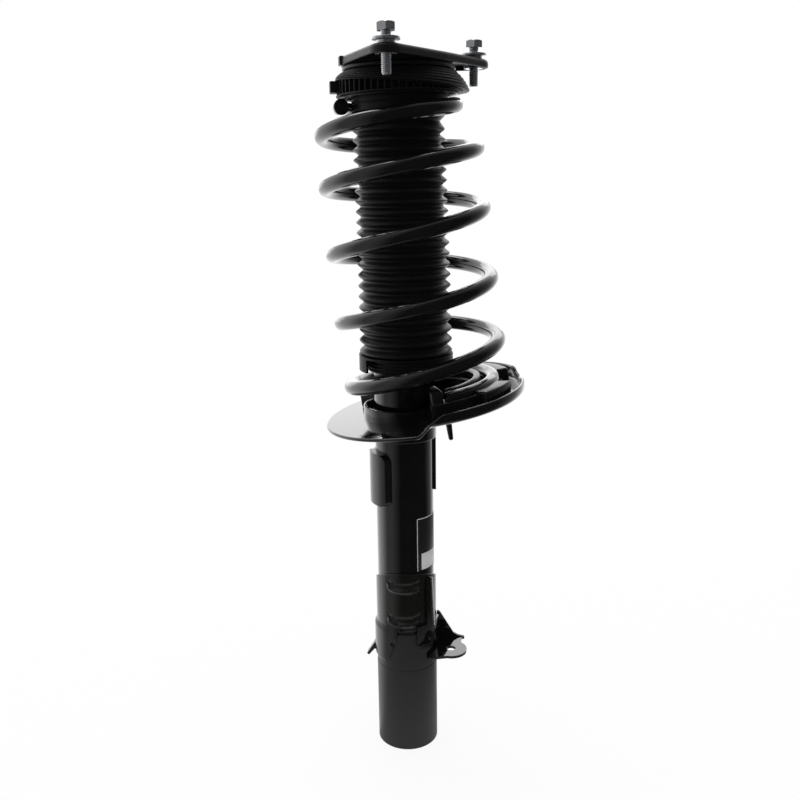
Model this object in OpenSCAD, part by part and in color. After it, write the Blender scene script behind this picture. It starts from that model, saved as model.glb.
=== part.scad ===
// Front suspension strut with its coil spring, spring seats, strut bearing and top mount.
// Origin at the middle of the foot, +Z up the strut axis, +X towards the wide side of the
// lower spring seat, millimetres.

/* [Reserve tube] */
// Outer diameter of the reserve tube
tube_d = 50.6; // [46:0.2:53]
// Wall of the reserve tube
tube_wall = 2.4; // [2:0.2:3]
// Height of the reserve tube's open end above the foot
tube_len = 364; // [360:1:368]
// Outer diameter of the clamp sleeve that the knuckle grips
sleeve_d = 55; // [55:0.5:58]
// Length of the clamp sleeve
sleeve_len = 116; // [105:1:117]
// Length of the sleeve's full-size part, which the knuckle clamps
clamp_len = 80; // [70:1:80]
// Bevel round the foot of the clamp sleeve
sleeve_bevel = 0.5; // [0.2:0.1:0.5]
// Play between pieces that are pressed or welded together
fit_gap = 0.05; // [0.02:0.01:0.1]
// Play between pieces that only lie next to each other
loose_gap = 0.4; // [0.3:0.1:0.8]

/* [Damper inside] */
// Diameter of the piston rod
rod_d = 20; // [18:0.5:22]
// Running play round the rod and the piston, on the radius
run_gap = 0.06; // [0.03:0.01:0.1]
// Bore of the pressure tube
bore_d = 32; // [30:0.5:36]
// Wall of the pressure tube
pressure_wall = 1.5; // [1.2:0.1:2]
// Height of the base valve seat above the foot
base_valve_z = 24; // [20:1:30]
// Height of the piston above the foot at full rebound
piston_z = 232; // [220:1:250]
// Height of the piston
piston_h = 16; // [12:1:20]
// Height of the rod guide
guide_h = 22; // [18:1:26]
// Height of the steel cap that the bump stop strikes
cap_h = 12; // [10:1:16]

/* [Knuckle band] */
// Height of the band's lower edge above the sleeve's top
band_rise = 3; // [2:0.5:6]
// Height of the band
band_h = 56; // [50:1:60]
// Thickness of the band's sheet
band_t = 1.8; // [1.5:0.1:2.5]
// How far the two pressed beads stand out of the band
bead_out = 1.3; // [0.8:0.1:1.6]
// Diameter of the hole in the hose tab
hose_hole_d = 8; // [5:0.2:9]
// Diameter of the hole for the stabiliser link's stud
link_hole_d = 12.2; // [10.2:0.2:14]

/* [Lower spring seat] */
// How far the seat's middle lies below the tube's open end
seat_drop = 45; // [42:1:48]
// How far the seat's middle lies to the side of the strut axis
seat_x = 19; // [16:1:22]
// Outer diameter of the seat
seat_d = 174; // [168:1:180]
// Tilt of the seat, raising its wide side
seat_tilt = 8.2; // [7:0.2:10]
// Thickness of the seat's sheet
seat_t = 3; // [2.5:0.1:3.5]
// Height of the raised half above the flat half
seat_step = 7; // [6:0.5:8]
// Height of the turned-up edge of the raised half
seat_rim = 7; // [5:0.5:9]
// Thickness of the rubber pad under the spring
pad_t = 4; // [3:0.5:6]

/* [Coil spring] */
// Diameter of the spring wire
wire_d = 12.5; // [11:0.5:13]
// Coil radius, to the middle of the wire, in the lowest full coil
coil_r_low = 64.8; // [64:0.2:66]
// Coil radius, to the middle of the wire, in the highest full coil
coil_r_high = 63; // [62:0.5:65]
// Radius of the drawn-in end coil at the bottom
end_r_low = 57; // [56:0.5:58]
// Radius of the drawn-in end coil at the top
end_r_high = 46.5; // [46:0.5:48]
// Tilt of the full coils, raising their wide side
coil_tilt = 4.8; // [4:0.2:7]
// How far the lowest full coils lean towards the wide side
coil_lean_max = 20; // [16:1:22]

/* [Dust boot] */
// Number of folds in the dust boot
folds = 22; // [12:1:24]
// Diameter over the lowest fold
boot_d_low = 80; // [76:1:82]
// Diameter over the highest fold
boot_d_high = 76; // [74:1:80]
// Depth of each fold
fold_depth = 4.7; // [3.5:0.1:5.5]
// Wall of the dust boot
boot_wall = 1.2; // [0.8:0.1:1.6]
// How much wider than average the lowest folds are spaced, the highest ones being as much closer
fold_drift = 0.1; // [0:0.01:0.15]

/* [Upper spring seat and bearing] */
// Diameter over the ribs of the upper spring seat
upper_d = 100; // [98:1:104]
// How far the spring's contact face lies below the mount's top face, at the strut axis
contact_drop = 30.5; // [29:0.5:32]
// Tilt of the spring's contact face, raising the right side
contact_tilt = 1.4; // [0:0.1:3]
// How far the ribbed ring's top lies below the mount's top face, at the strut axis
flange_drop = 22.2; // [21:0.1:23]
// Tilt of the ribbed ring's top, lowering the right side
flange_tilt = 5.2; // [0:0.1:5.4]
// Number of ribs round the ring
ribs = 40; // [24:4:60]
// Outer diameter of the drum below the ribbed ring
drum_d = 72; // [70:1:74]
// Diameter of the bearing balls
ball_d = 5; // [4:0.5:5]
// Number of bearing balls
balls = 24; // [16:1:30]
// Radius of the circle that the balls run on
ball_r = 40; // [39:0.5:41]

/* [Top mount] */
// Height of the mount's top face above the foot
mount_z = 604.5; // [603:0.5:607]
// Thickness of the mount plate
plate_t = 3.2; // [2.5:0.1:3.5]
// Depth of the mount plate's turned-down edge
plate_rim = 7; // [5:0.5:9]
// Diameter of the circle through the three tower bolts
bolt_circle_d = 132; // [126:1:136]
// Radius of the rounded corner round each bolt
corner_r = 12; // [10:0.5:14]
// Diameter of the middle of the mount plate
plate_mid_d = 92; // [90:1:100]
// Thread diameter of the tower bolts
bolt_d = 8; // [6:1:10]
// Length of the tower bolts under the head
bolt_len = 30; // [25:1:35]
// Width across flats of the bolt heads
bolt_af = 13; // [12:1:15]
// Diameter of the washers
washer_d = 21; // [19:1:24]
// How far the shown bolts stand out of their nuts
bolt_out = 9; // [6:0.5:12]

/* [Hidden] */
$fn = 96;

e = 0.01;
tube_r = tube_d / 2;
tube_in = tube_r - tube_wall;
sleeve_r = sleeve_d / 2;
rod_r = rod_d / 2;
wire_r = wire_d / 2;
band_in = tube_r + fit_gap;
band_out = band_in + band_t;
neck_r = sleeve_r - 0.3;
band_z = sleeve_len + band_rise;
seat_z = tube_len - seat_drop;
upper_z = mount_z - contact_drop;
flange_z = mount_z - flange_drop;
over_sleeve = neck_r + fit_gap;

// ---- damper ----
plug_h = 8;
pressure_out = bore_d / 2 + pressure_wall;
guide_z = tube_len - 4 - guide_h;
guide_step = 5;
pressure_top = guide_z + guide_step;
cap_t = 2;
cap_top = tube_len + cap_t + fit_gap;

module tube_ring(outer, inner, z, h) {
    translate([0, 0, z])
        difference() {
            cylinder(r = outer, h = h);
            translate([0, 0, -1])
                cylinder(r = inner, h = h + 2);
        }
}

module reserve_tube() {
    color([0.05, 0.05, 0.055])
        rotate_extrude()
            polygon([
                [tube_in, 0], [tube_r, 0], [tube_r, tube_len - 3], [tube_r - 1.2, tube_len],
                [tube_in - 2, tube_len], [tube_in - 2, tube_len - 2], [tube_in, tube_len - 3.6]
            ]);
}

module clamp_sleeve() {
    inner = tube_r + fit_gap;
    color([0.22, 0.23, 0.23])
        rotate_extrude()
            polygon([
                [inner, 0], [sleeve_r - sleeve_bevel, 0], [sleeve_r, sleeve_bevel],
                [sleeve_r, clamp_len], [neck_r, clamp_len + 0.3],
                [neck_r, sleeve_len - 1], [neck_r - 1, sleeve_len], [inner, sleeve_len]
            ]);
}

module end_plug() {
    r = tube_in - fit_gap;
    dish = 3;
    color([0.15, 0.15, 0.16])
        rotate_extrude()
            polygon([
                [0, dish], [r - 6, dish], [r - 3, 0], [r, 0], [r, plug_h + 4], [r - 3, plug_h + 4],
                [r - 3, plug_h], [0, plug_h]
            ]);
}

module pressure_tube() {
    color([0.6, 0.6, 0.62])
        tube_ring(pressure_out, bore_d / 2, base_valve_z, pressure_top - base_valve_z - fit_gap);
}

module base_valve() {
    foot_r = tube_in - 1.5;
    spigot_h = 7;
    color([0.5, 0.48, 0.42])
        difference() {
            union() {
                translate([0, 0, plug_h + fit_gap])
                    cylinder(r = foot_r - 6, h = base_valve_z - plug_h - fit_gap - 3);
                translate([0, 0, base_valve_z - 3])
                    cylinder(r = pressure_out, h = 3 - fit_gap);
                translate([0, 0, base_valve_z - 1])
                    cylinder(r = bore_d / 2 - fit_gap, h = spigot_h + 1);
            }
            for (i = [0 : 5])
                rotate([0, 0, 60 * i])
                    translate([9, 0, plug_h])
                        cylinder(d = 3, h = base_valve_z + spigot_h, $fn = 24);
        }
}

module rod_guide() {
    bush_out = rod_r + 2;
    color([0.55, 0.52, 0.48])
        rotate_extrude()
            polygon([
                [bush_out, guide_z], [bore_d / 2 - fit_gap, guide_z],
                [bore_d / 2 - fit_gap, pressure_top], [tube_in - fit_gap, pressure_top],
                [tube_in - fit_gap, guide_z + guide_h - 5], [bush_out + 4, guide_z + guide_h - 5],
                [bush_out + 4, guide_z + guide_h - 8], [bush_out, guide_z + guide_h - 8]
            ]);
}

module guide_bush() {
    color([0.35, 0.3, 0.25])
        tube_ring(rod_r + 2 - fit_gap, rod_r + run_gap, guide_z + 1, guide_h - 9);
}

module rod_seal() {
    seal_z = guide_z + guide_h - 5 + fit_gap;
    color([0.08, 0.08, 0.08])
        rotate_extrude()
            polygon([
                [rod_r + run_gap, seal_z + 1], [rod_r + 3, seal_z], [tube_in - 2.5, seal_z],
                [tube_in - 2.5, seal_z + 6.5], [rod_r + 4, seal_z + 6.5], [rod_r + run_gap, seal_z + 5]
            ]);
}

module tube_cap() {
    outer = tube_r + fit_gap + cap_t;
    color([0.1, 0.1, 0.1])
        rotate_extrude()
            polygon([
                [rod_r + 2, tube_len + fit_gap], [tube_r + fit_gap, tube_len + fit_gap],
                [tube_r + fit_gap, cap_top - cap_h], [outer, cap_top - cap_h],
                [outer, cap_top - 1.5], [outer - 1.5, cap_top], [rod_r + 2, cap_top]
            ]);
}

// ---- brackets on the tube ----

// A piece of a thin cylinder, from angle a0 to a1 about the strut axis
module arc_sheet(inner, outer, z0, z1, a0, a1) {
    rotate([0, 0, a0])
        rotate_extrude(angle = a1 - a0)
            translate([inner, z0])
                square([outer - inner, z1 - z0]);
}

band_a0 = 158;
band_a1 = 388;
bead_a0 = -128;
bead_a1 = -72;
bead_low = 12;
bead_high = 45;
tongue_a0 = -150;
tongue_a1 = -112;
tongue_z = band_z - 23;
strip_z0 = band_z - 30;
strip_z1 = band_z + 24;
strip_t = 1.5;
flange_w = 3;
band_slope = 24;

// Profile of one pressed bead, turned round the strut axis
module bead(z) {
    rotate([0, 0, bead_a0])
        rotate_extrude(angle = bead_a1 - bead_a0)
            polygon([
                [band_in + 0.6, z - 3], [band_out, z - 3], [band_out + bead_out, z - 1.1],
                [band_out + bead_out, z + 1.1], [band_out, z + 3], [band_in + 0.6, z + 3]
            ]);
}

module knuckle_band() {
    tongue_out = over_sleeve + band_t;
    strip_out = over_sleeve + strip_t;
    color([0.07, 0.07, 0.07])
        difference() {
            union() {
                arc_sheet(band_in, band_out, band_z, band_z + band_h, band_a0, band_a1);
                arc_sheet(band_in, tongue_out, sleeve_len + 0.5, band_z + 2.5, tongue_a0, tongue_a1);
                arc_sheet(over_sleeve, tongue_out, tongue_z, sleeve_len + 1, tongue_a0, tongue_a1);
                arc_sheet(band_in, strip_out, sleeve_len + 0.5, strip_z1, band_a0, band_a0 + 22);
                arc_sheet(over_sleeve, strip_out, strip_z0, sleeve_len + 1, band_a0, band_a0 + 22);
                for (a = [band_a1 - 1.5, band_a1 + 4])
                    arc_sheet(band_in + 0.4, band_out + flange_w, band_z + 1, band_z + band_h - 6,
                        a, a + 2.2);
                arc_sheet(band_in + 0.2, band_out - 0.2, band_z + 2, band_z + band_h - 6,
                    band_a1 - 1, band_a1 + 5);
                bead(band_z + bead_low);
                bead(band_z + bead_high);
            }
            translate([0, -band_out, band_z + band_h])
                rotate([-band_slope, 0, 0])
                    translate([-50, -10, 0])
                        cube([100, 100, 40]);
            rotate([0, 0, tongue_a1 - 6])
                translate([band_in - 3, 0, tongue_z + 11])
                    rotate([0, 90, 0])
                        cylinder(d = 6, h = 10, $fn = 32);
        }
}

// A short sheet finger that turns down and away from the band
module locating_tab() {
    reach = 8.5;
    color([0.07, 0.07, 0.07])
        rotate([0, 0, band_a0 + 14])
            translate([over_sleeve + strip_t + fit_gap, 0, strip_z0 + 2])
                rotate([90, 0, 0])
                    translate([0, 0, -4])
                        linear_extrude(8)
                            polygon([
                                [0, -3], [0, 3], [1.5, 3], [reach, -8], [reach - 2, -9.4], [1.2, -3]
                            ]);
}

hose_x = 39.5;
hose_y = -21.7;
hose_z = band_z - 21.5;
hose_t = 2.4;
hose_r = 14;

module hose_tab_outline() {
    difference() {
        union() {
            translate([hose_x, hose_y])
                circle(r = hose_r);
            polygon([
                [17, -29.5], [17, -38], [hose_x - 4, hose_y - hose_r + 0.6], [hose_x + 9, hose_y + 10],
                [51.5, 0.4], [30.5, 0.4]
            ]);
        }
        circle(r = over_sleeve);
        translate([hose_x, hose_y])
            circle(d = hose_hole_d);
    }
}

// A strap and a leg on the band, a gusset plate standing out of it and a level tab below
module hose_bracket() {
    strap_z0 = band_z - 13.5;
    strap_z1 = band_z + 5.5;
    gusset_y = 1;
    color([0.06, 0.06, 0.06]) {
        arc_sheet(over_sleeve, over_sleeve + hose_t, strap_z0, strap_z1, -72, -2);
        arc_sheet(band_out + fit_gap, over_sleeve + hose_t - 0.4, strap_z1 - 1, band_z + 48, -52, -34);
        arc_sheet(over_sleeve + 0.3, over_sleeve + hose_t - 0.2, hose_z + 0.4, strap_z0 + 1, -24, -2);
        translate([0, 0, hose_z])
            linear_extrude(hose_t)
                hose_tab_outline();
        translate([0, gusset_y, hose_z])
            rotate([90, 0, 0])
                linear_extrude(hose_t)
                    polygon([
                        [over_sleeve + 0.3, 0], [over_sleeve + 0.3, 28], [29, 29], [31, 27.5],
                        [43.2, 6.5], [47, 4], [53, 2.3], [53, 0]
                    ]);
    }
}

link_z0 = seat_z - 83;
link_z1 = link_z0 + 46;
link_a = 202;
link_in = tube_r + fit_gap;
link_t = 2.4;
ear_y = 37;
ear_x = -6;
ear_w = 30;

// A pressed pan at the side of the tube, a wrap behind it and a rear ear with the stud hole
module link_bracket() {
    color([0.06, 0.06, 0.06])
        difference() {
            union() {
                arc_sheet(link_in, link_in + link_t, link_z0 + 9, link_z1 + 11, -8, 152);
                arc_sheet(link_in, link_in + link_t - 0.1, link_z0, link_z0 + 12, 26, 151);
                arc_sheet(link_in, link_in + link_t - 0.2, link_z0 + 1, link_z1 - 1, 148, 232);
                link_pan();
                link_ear();
            }
            cylinder(r = link_in, h = tube_len);
            translate([ear_x, ear_y - 10, (link_z0 + link_z1) / 2])
                rotate([-90, 0, 0])
                    cylinder(d = link_hole_d, h = 20);
        }
}

module link_pan() {
    wide = 34;
    stand = 30.5;
    soft = 6;
    rotate([0, 0, link_a])
        translate([0, 0, link_z0])
            difference() {
                intersection() {
                    cylinder(r = stand, h = link_z1 - link_z0);
                    translate([0, -wide / 2, 0])
                        cube([stand + 1, wide, link_z1 - link_z0]);
                    rotate([90, 0, 90])
                        linear_extrude(stand + 1)
                            rounded_rect(wide, link_z1 - link_z0, soft);
                }
                translate([0, 0, link_t])
                    intersection() {
                        cylinder(r = stand - link_t, h = link_z1 - link_z0 - 2 * link_t);
                        translate([0, link_t - wide / 2, 0])
                            cube([stand, wide - 2 * link_t, link_z1 - link_z0]);
                    }
            }
}

module rounded_rect(w, h, r) {
    for (x = [-w / 2 + r, w / 2 - r])
        for (y = [r, h - r])
            translate([x, y])
                circle(r = r);
    translate([-w / 2, r])
        square([w, h - 2 * r]);
    translate([-w / 2 + r, 0])
        square([w - 2 * r, h]);
}

module link_ear() {
    translate([ear_x, ear_y + link_t, link_z0 - 2])
        rotate([90, 0, 0])
            linear_extrude(link_t)
                rounded_rect(ear_w, link_z1 - link_z0 + 4, 8);
    for (x = [ear_x - ear_w / 2 + 1, ear_x + ear_w / 2 - 1 - link_t])
        translate([x, 12, link_z0 + 6])
            cube([link_t, ear_y - 12 + e, link_z1 - link_z0 - 12]);
}

// ---- lower spring seat ----
seat_r = seat_d / 2;
ramp_x0 = -9;
ramp_x1 = 2;
hub_r = 34.5;
hub_low_r = 28.3;
hub_wall = 2.6;
hub_z0 = seat_z - 25;
hub_z1 = seat_z + 4;
peg_x = 16.6;
peg_y = -61;
peg_z = -seat_t - 8.8;
peg_r = 2.5;
rim_a = 86;
lip_h = 12;

module in_seat_frame() {
    translate([seat_x, 0, seat_z])
        rotate([0, -seat_tilt, 0])
            children();
}

// The flat half, the ramp and the raised half in one sheet, trimmed to a disc
module seat_floor() {
    intersection() {
        translate([0, 0, -seat_t - 1])
            cylinder(r = seat_r, h = seat_step + seat_t + 2);
        rotate([90, 0, 0])
            translate([0, 0, -seat_r - 1])
                linear_extrude(seat_d + 2)
                    polygon([
                        [-seat_r - 1, -seat_t], [ramp_x0, -seat_t], [ramp_x1, seat_step - seat_t],
                        [seat_r + 1, seat_step - seat_t], [seat_r + 1, seat_step],
                        [ramp_x1, seat_step], [ramp_x0, 0], [-seat_r - 1, 0]
                    ]);
    }
}

module seat_plate() {
    seat_floor();
    rotate([0, 0, -rim_a])
        rotate_extrude(angle = 2 * rim_a)
            polygon([
                [seat_r - seat_t - 3, seat_step - 1], [seat_r - 0.1, seat_step - 1],
                [seat_r - 0.1, seat_step + seat_rim - 1], [seat_r - 1.1, seat_step + seat_rim],
                [seat_r - seat_t, seat_step + seat_rim], [seat_r - seat_t, seat_step + 3]
            ]);
    rotate([0, 0, 14])
        rotate_extrude(angle = 44)
            polygon([
                [seat_r - seat_t + 0.3, seat_step + 1], [seat_r - 0.3, seat_step + 1],
                [seat_r - 0.3, seat_step + lip_h - 2], [seat_r - 1.5, seat_step + lip_h],
                [seat_r - seat_t + 0.3, seat_step + lip_h]
            ]);
}

module lower_spring_seat() {
    color([0.05, 0.05, 0.05])
        difference() {
            union() {
                in_seat_frame()
                    seat_plate();
                rotate_extrude()
                    polygon([
                        [tube_r - 1, hub_z0], [hub_low_r, hub_z0], [hub_low_r, hub_z0 + 11],
                        [hub_r, hub_z0 + 16], [hub_r, hub_z1 - 2], [hub_r - 1, hub_z1],
                        [tube_r - 1, hub_z1]
                    ]);
                intersection() {
                    tube_ring(hub_r - 0.2, hub_r - hub_wall - 1, hub_z1 - 4, 20);
                    in_seat_frame()
                        translate([ramp_x1, -seat_r, -40])
                            cube([seat_r, seat_d, 39.5 + seat_step]);
                }
            }
            cylinder(r = tube_r + fit_gap, h = tube_len);
            translate([0, 0, hub_z1 - 9])
                cylinder(r = hub_r - hub_wall, h = 60);
            in_seat_frame()
                translate([peg_x, peg_y, -20])
                    cylinder(r = peg_r + fit_gap, h = 40, $fn = 32);
        }
}

pad_in = 42;
pad_out = 68.5;
pad_a1 = 156;
pad_wall = 3.5;
stop_a0 = -87;
ring_out = end_r_low - wire_r - 1;
groove_r = wire_r + 2 * loose_gap;
pad_x = 1;
// The end coil's middle in the seat's own frame
groove_x = (coil_lean_max - seat_x) / cos(seat_tilt)
    + (seat_step + pad_t + wire_r) * tan(seat_tilt);
trough_out = 65;
// How far the pad's lobes reach, short of the seat's turned-up edge
lobe_out = seat_r - seat_t - 5.5;

// A rubber tray with a groove for the end coil, a stop block and two raised lobes
module seat_insulator() {
    pad_h = pad_t + pad_wall;
    color([0.09, 0.09, 0.09])
        in_seat_frame()
            difference() {
                union() {
                    translate([pad_x, 0, seat_step + fit_gap]) {
                        pad_ring(pad_in, pad_out, pad_h, stop_a0, pad_a1);
                        pad_ring(pad_in + 0.5, pad_out - 2, pad_t + wire_d + 4, stop_a0 + 0.5,
                            spring_a0 - 1);
                        pad_ring(pad_in + 2, ring_out, pad_t + wire_d, spring_a0 + 6, 118);
                        pad_ring(trough_out - 0.5, lobe_out - 2.5, pad_t + 10, 8, 44);
                        pad_ring(trough_out - 0.5, lobe_out, pad_t + 9, -52, -24);
                    }
                    translate([pad_x, 0, fit_gap])
                        pad_ring(pad_in + 0.5, pad_out - 0.5, seat_step + pad_h - 1, 103, pad_a1 - 1);
                    translate([peg_x, peg_y, peg_z])
                        cylinder(r1 = peg_r - 0.8, r2 = peg_r, h = 1 + seat_step - peg_z, $fn = 32);
                }
                pad_groove();
                translate([-seat_x, 0, -20])
                    cylinder(r = hub_r + 1.5, h = 60);
            }
}

module pad_ring(inner, outer, h, a0, a1) {
    rotate([0, 0, a0])
        rotate_extrude(angle = a1 - a0)
            translate([inner, 0])
                square([outer - inner, h]);
}

module pad_groove() {
    wire_low = seat_step + fit_gap + pad_t;
    translate([groove_x, 0, wire_low + groove_r - 0.15])
        rotate([0, 0, spring_a0])
            rotate_extrude(angle = pad_a1 + 10 - spring_a0) {
                translate([end_r_low, 0])
                    circle(r = groove_r, $fn = 32);
                translate([end_r_low - groove_r, 0])
                    square([2 * groove_r, 40]);
            }
    translate([groove_x, 0, wire_low])
        pad_ring(end_r_low, trough_out, 40, -12, pad_a1 + 10);
}

// ---- coil spring ----
// The wire's middle runs on a right-hand helix. Both end coils are drawn in and lie tilted
// on their seats, and the coils lean sideways towards the wide side of the lower seat.
spring_a0 = -76;
spring_a1 = 2000;
top_share = 0.672;
first_lift = 24;
ring_step = 12;
wire_sides = 10;
lean_top_z = upper_z - 37;
lean_low_z = seat_z + 22;
spring_z0 = seat_z + (coil_lean_max - seat_x) * tan(seat_tilt)
    + (seat_step + pad_t + wire_r + 2 * fit_gap) / cos(seat_tilt);
spring_z1 = upper_z - (wire_r + loose_gap) / cos(contact_tilt);

function ease(x, a, b) =
    let(s = min(max((x - a) / (b - a), 0), 1))
    s * s * (3 - 2 * s);

// Integral of an eased step that grows from 0 to 1 between a and b
function run(x, a, b) =
    let(s = (x - a) / (b - a))
    x <= a ? 0 : x >= b ? (b - a) / 2 + x - b : (b - a) * (s ^ 3 - s ^ 4 / 2);

function climb(a) =
    run(a, -60, 340) - (1 - top_share) * run(a, 1020, 1460) - top_share * run(a, 1740, 1860)
        + first_lift * ease(a, 60, 300) * (1 - ease(a, 280, 440));

function coil_z(a) = spring_z0 + (spring_z1 - spring_z0) * climb(a) / climb(spring_a1);

function coil_radius(a) =
    let(body = coil_r_low + (coil_r_high - coil_r_low) * ease(a, 300, 1500))
    let(low = end_r_low + (body - end_r_low) * ease(a, -20, 230))
    low + (end_r_high - low) * ease(a, 1590, 1810);

function coil_lean(a) =
    coil_lean_max * min(max((lean_top_z - coil_z(a)) / (lean_top_z - lean_low_z), 0), 1) ^ 1.2;

function tilt_at(a) =
    seat_tilt + (coil_tilt - seat_tilt) * ease(a, 150, 600)
        + (contact_tilt - coil_tilt) * ease(a, 1500, 1800);

function coil_point(a) =
    let(r = coil_radius(a))
    [coil_lean(a) + r * cos(tilt_at(a)) * cos(a), r * sin(a), coil_z(a) + r * sin(tilt_at(a)) * cos(a)];

function unit(v) = v / norm(v);

function wire_ring(a) =
    let(mid = coil_point(a))
    let(along = unit(coil_point(a + 1) - coil_point(a - 1)))
    let(side = unit(cross(along, [0, 0, 1])))
    let(up = cross(side, along))
    [for (k = [0 : wire_sides - 1])
        mid + wire_r * (side * cos(360 * k / wire_sides) + up * sin(360 * k / wire_sides))];

spring_rings = floor((spring_a1 - spring_a0) / ring_step);
function ring_angle(i) = spring_a0 + (spring_a1 - spring_a0) * i / spring_rings;

coil_mids = [for (i = [0 : spring_rings]) coil_point(ring_angle(i))];
coil_gaps = [for (i = [0 : spring_rings])
    for (j = [i + floor(180 / ring_step) : spring_rings])
        if (j <= spring_rings) norm(coil_mids[i] - coil_mids[j]) - wire_d];
echo(least_gap_between_coils = min(coil_gaps));  // coil_spring

module coil_spring() {
    points = [for (i = [0 : spring_rings]) each wire_ring(ring_angle(i))];
    last = spring_rings * wire_sides;
    walls = [for (i = [0 : spring_rings - 1])
        for (k = [0 : wire_sides - 1])
            let(n = (k + 1) % wire_sides)
            let(p = i * wire_sides + k, q = i * wire_sides + n)
            each [[p, p + wire_sides, q + wire_sides], [p, q + wire_sides, q]]];
    near = [for (k = [1 : wire_sides - 2]) [0, k, k + 1]];
    far = [for (k = [1 : wire_sides - 2]) [last, last + k + 1, last + k]];
    color([0.03, 0.03, 0.035])
        polyhedron(points, concat(walls, near, far));
}

// ---- dust boot ----
collar_z0 = tube_len - 10;
collar_z1 = collar_z0 + 13.5;
boot_lean = 1.2;
boot_top_x = -1.2;
boot_z0 = collar_z1 + 0.9;
collar_r = boot_d_low / 2;
boot_z1 = upper_z - 22;
drum_r = drum_d / 2;

collar_x = boot_top_x + (boot_z1 - collar_z1) * tan(boot_lean);
collar_neck_r = 32.7;

// A plastic cup that snaps over the tube cap: a ribbed wall, cut away to posts at three windows,
// round a second ribbed wall, with a low neck that holds the boot
module boot_collar() {
    grip = tube_r + cap_t + 2 * fit_gap;
    wall = 2.2;
    inner_r = grip + 5.4;
    deck_z = collar_z1 - 2;
    window_a = 29;
    rib_h = (deck_z - collar_z0) / 4;
    inner = [for (i = [0 : 3]) each [
        [inner_r, collar_z0 + i * rib_h], [inner_r, collar_z0 + (i + 0.6) * rib_h],
        [inner_r - 1.2, collar_z0 + (i + 0.75) * rib_h], [inner_r - 1.2, collar_z0 + (i + 0.95) * rib_h]
    ]];
    outer = [for (i = [0 : 3]) each [
        [collar_r, collar_z0 + (i + 0.3) * rib_h], [collar_r, collar_z0 + (i + 0.8) * rib_h],
        [collar_r - 0.7, collar_z0 + (i + 0.9) * rib_h], [collar_r - 0.7, collar_z0 + (i + 1.1) * rib_h]
    ]];
    color([0.07, 0.07, 0.07])
        difference() {
            translate([collar_x, 0, 0])
                rotate_extrude()
                    polygon(concat([[0, collar_z0]], inner, [
                        [inner_r - 1.2, deck_z], [collar_r - wall, deck_z],
                        [collar_r - wall, collar_z0], [collar_r - 0.7, collar_z0]
                    ], outer, [
                        [collar_r, collar_z1 - 1], [collar_r - 0.6, collar_z1],
                        [collar_neck_r, collar_z1], [collar_neck_r, collar_z1 + 3], [0, collar_z1 + 3]
                    ]));
            translate([0, 0, collar_z0 - 1])
                cylinder(r = grip, h = 30);
            for (a = [33, 123, 213])
                translate([collar_x, 0, 0])
                    rotate([0, 0, a])
                        rotate_extrude(angle = window_a)
                            translate([collar_r - wall - 0.5, collar_z0 - 1])
                                square([wall + 2, deck_z - collar_z0 + 1]);
        }
}

// Radius of crest i, and its height below the boot's upper end
function fold_r(i) = (boot_d_low + (boot_d_high - boot_d_low) * i / folds) / 2 - 0.8;
function crest(i) =
    let(low = boot_z0 - boot_z1 + 1.7)
    let(t = i / (folds - 1))
    low + (-2.7 - low) * t * (1 + fold_drift * (1 - t));

// The boot's axis leans, so its middle line is drawn about its top end
module dust_boot() {
    flat = 0.9;
    cuff_r = collar_neck_r + 2 * fit_gap + boot_wall;
    outer = [for (i = [0 : folds - 1]) each [
        [fold_r(i), crest(i) - flat], [fold_r(i), crest(i) + flat],
        if (i < folds - 1) [fold_r(i + 0.5) - fold_depth + 0.8, crest(i + 0.5)]
    ]];
    line = concat([[cuff_r, boot_z0 - boot_z1]], outer, [[drum_r - 2, -0.9]]);
    inner = [for (i = [len(line) - 1 : -1 : 2]) [line[i][0] - boot_wall, line[i][1]]];
    foot = [[cuff_r - boot_wall, line[1][1] + 1], [cuff_r - boot_wall, line[0][1]]];
    color([0.04, 0.04, 0.04])
        translate([boot_top_x, 0, boot_z1])
            rotate([0, -boot_lean, 0])
                rotate_extrude()
                    polygon(concat(line, inner, foot));
}

// ---- upper spring seat and strut bearing ----
upper_r = upper_d / 2;
rib_t = 1.2;
rib_depth = 2.6;
upper_pad_t = 1.2;
flange_r = 51;
flange_t = 1;
ball_z = mount_z - 12;
race_w = 6.8;
race_in = ball_r - race_w / 2;
race_out = ball_r + race_w / 2;
race_t = 2.6;
race_gap = 1;
race_play = 0.1;
low_race_z = ball_z - race_gap - race_t;
housing_z = ball_z + 0.4;
housing_r = 45;
housing_bore = 33.5;
cup_z = housing_z + loose_gap;

// Space above the spring's contact face
module contact_frame(z) {
    translate([0, 0, upper_z])
        rotate([0, -contact_tilt, 0])
            translate([0, 0, z])
                children();
}

// Space at the top of the ribbed ring
module flange_frame(z) {
    translate([0, 0, flange_z])
        rotate([0, flange_tilt, 0])
            translate([0, 0, z])
                children();
}

// Everything from z above the contact face up to the underside of the ribbed ring's top
module wedge_space(z) {
    intersection() {
        contact_frame(upper_pad_t + fit_gap + z)
            cylinder(r = 70, h = 60);
        flange_frame(-60 - flange_t / 2)
            cylinder(r = 70, h = 60);
    }
}

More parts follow.
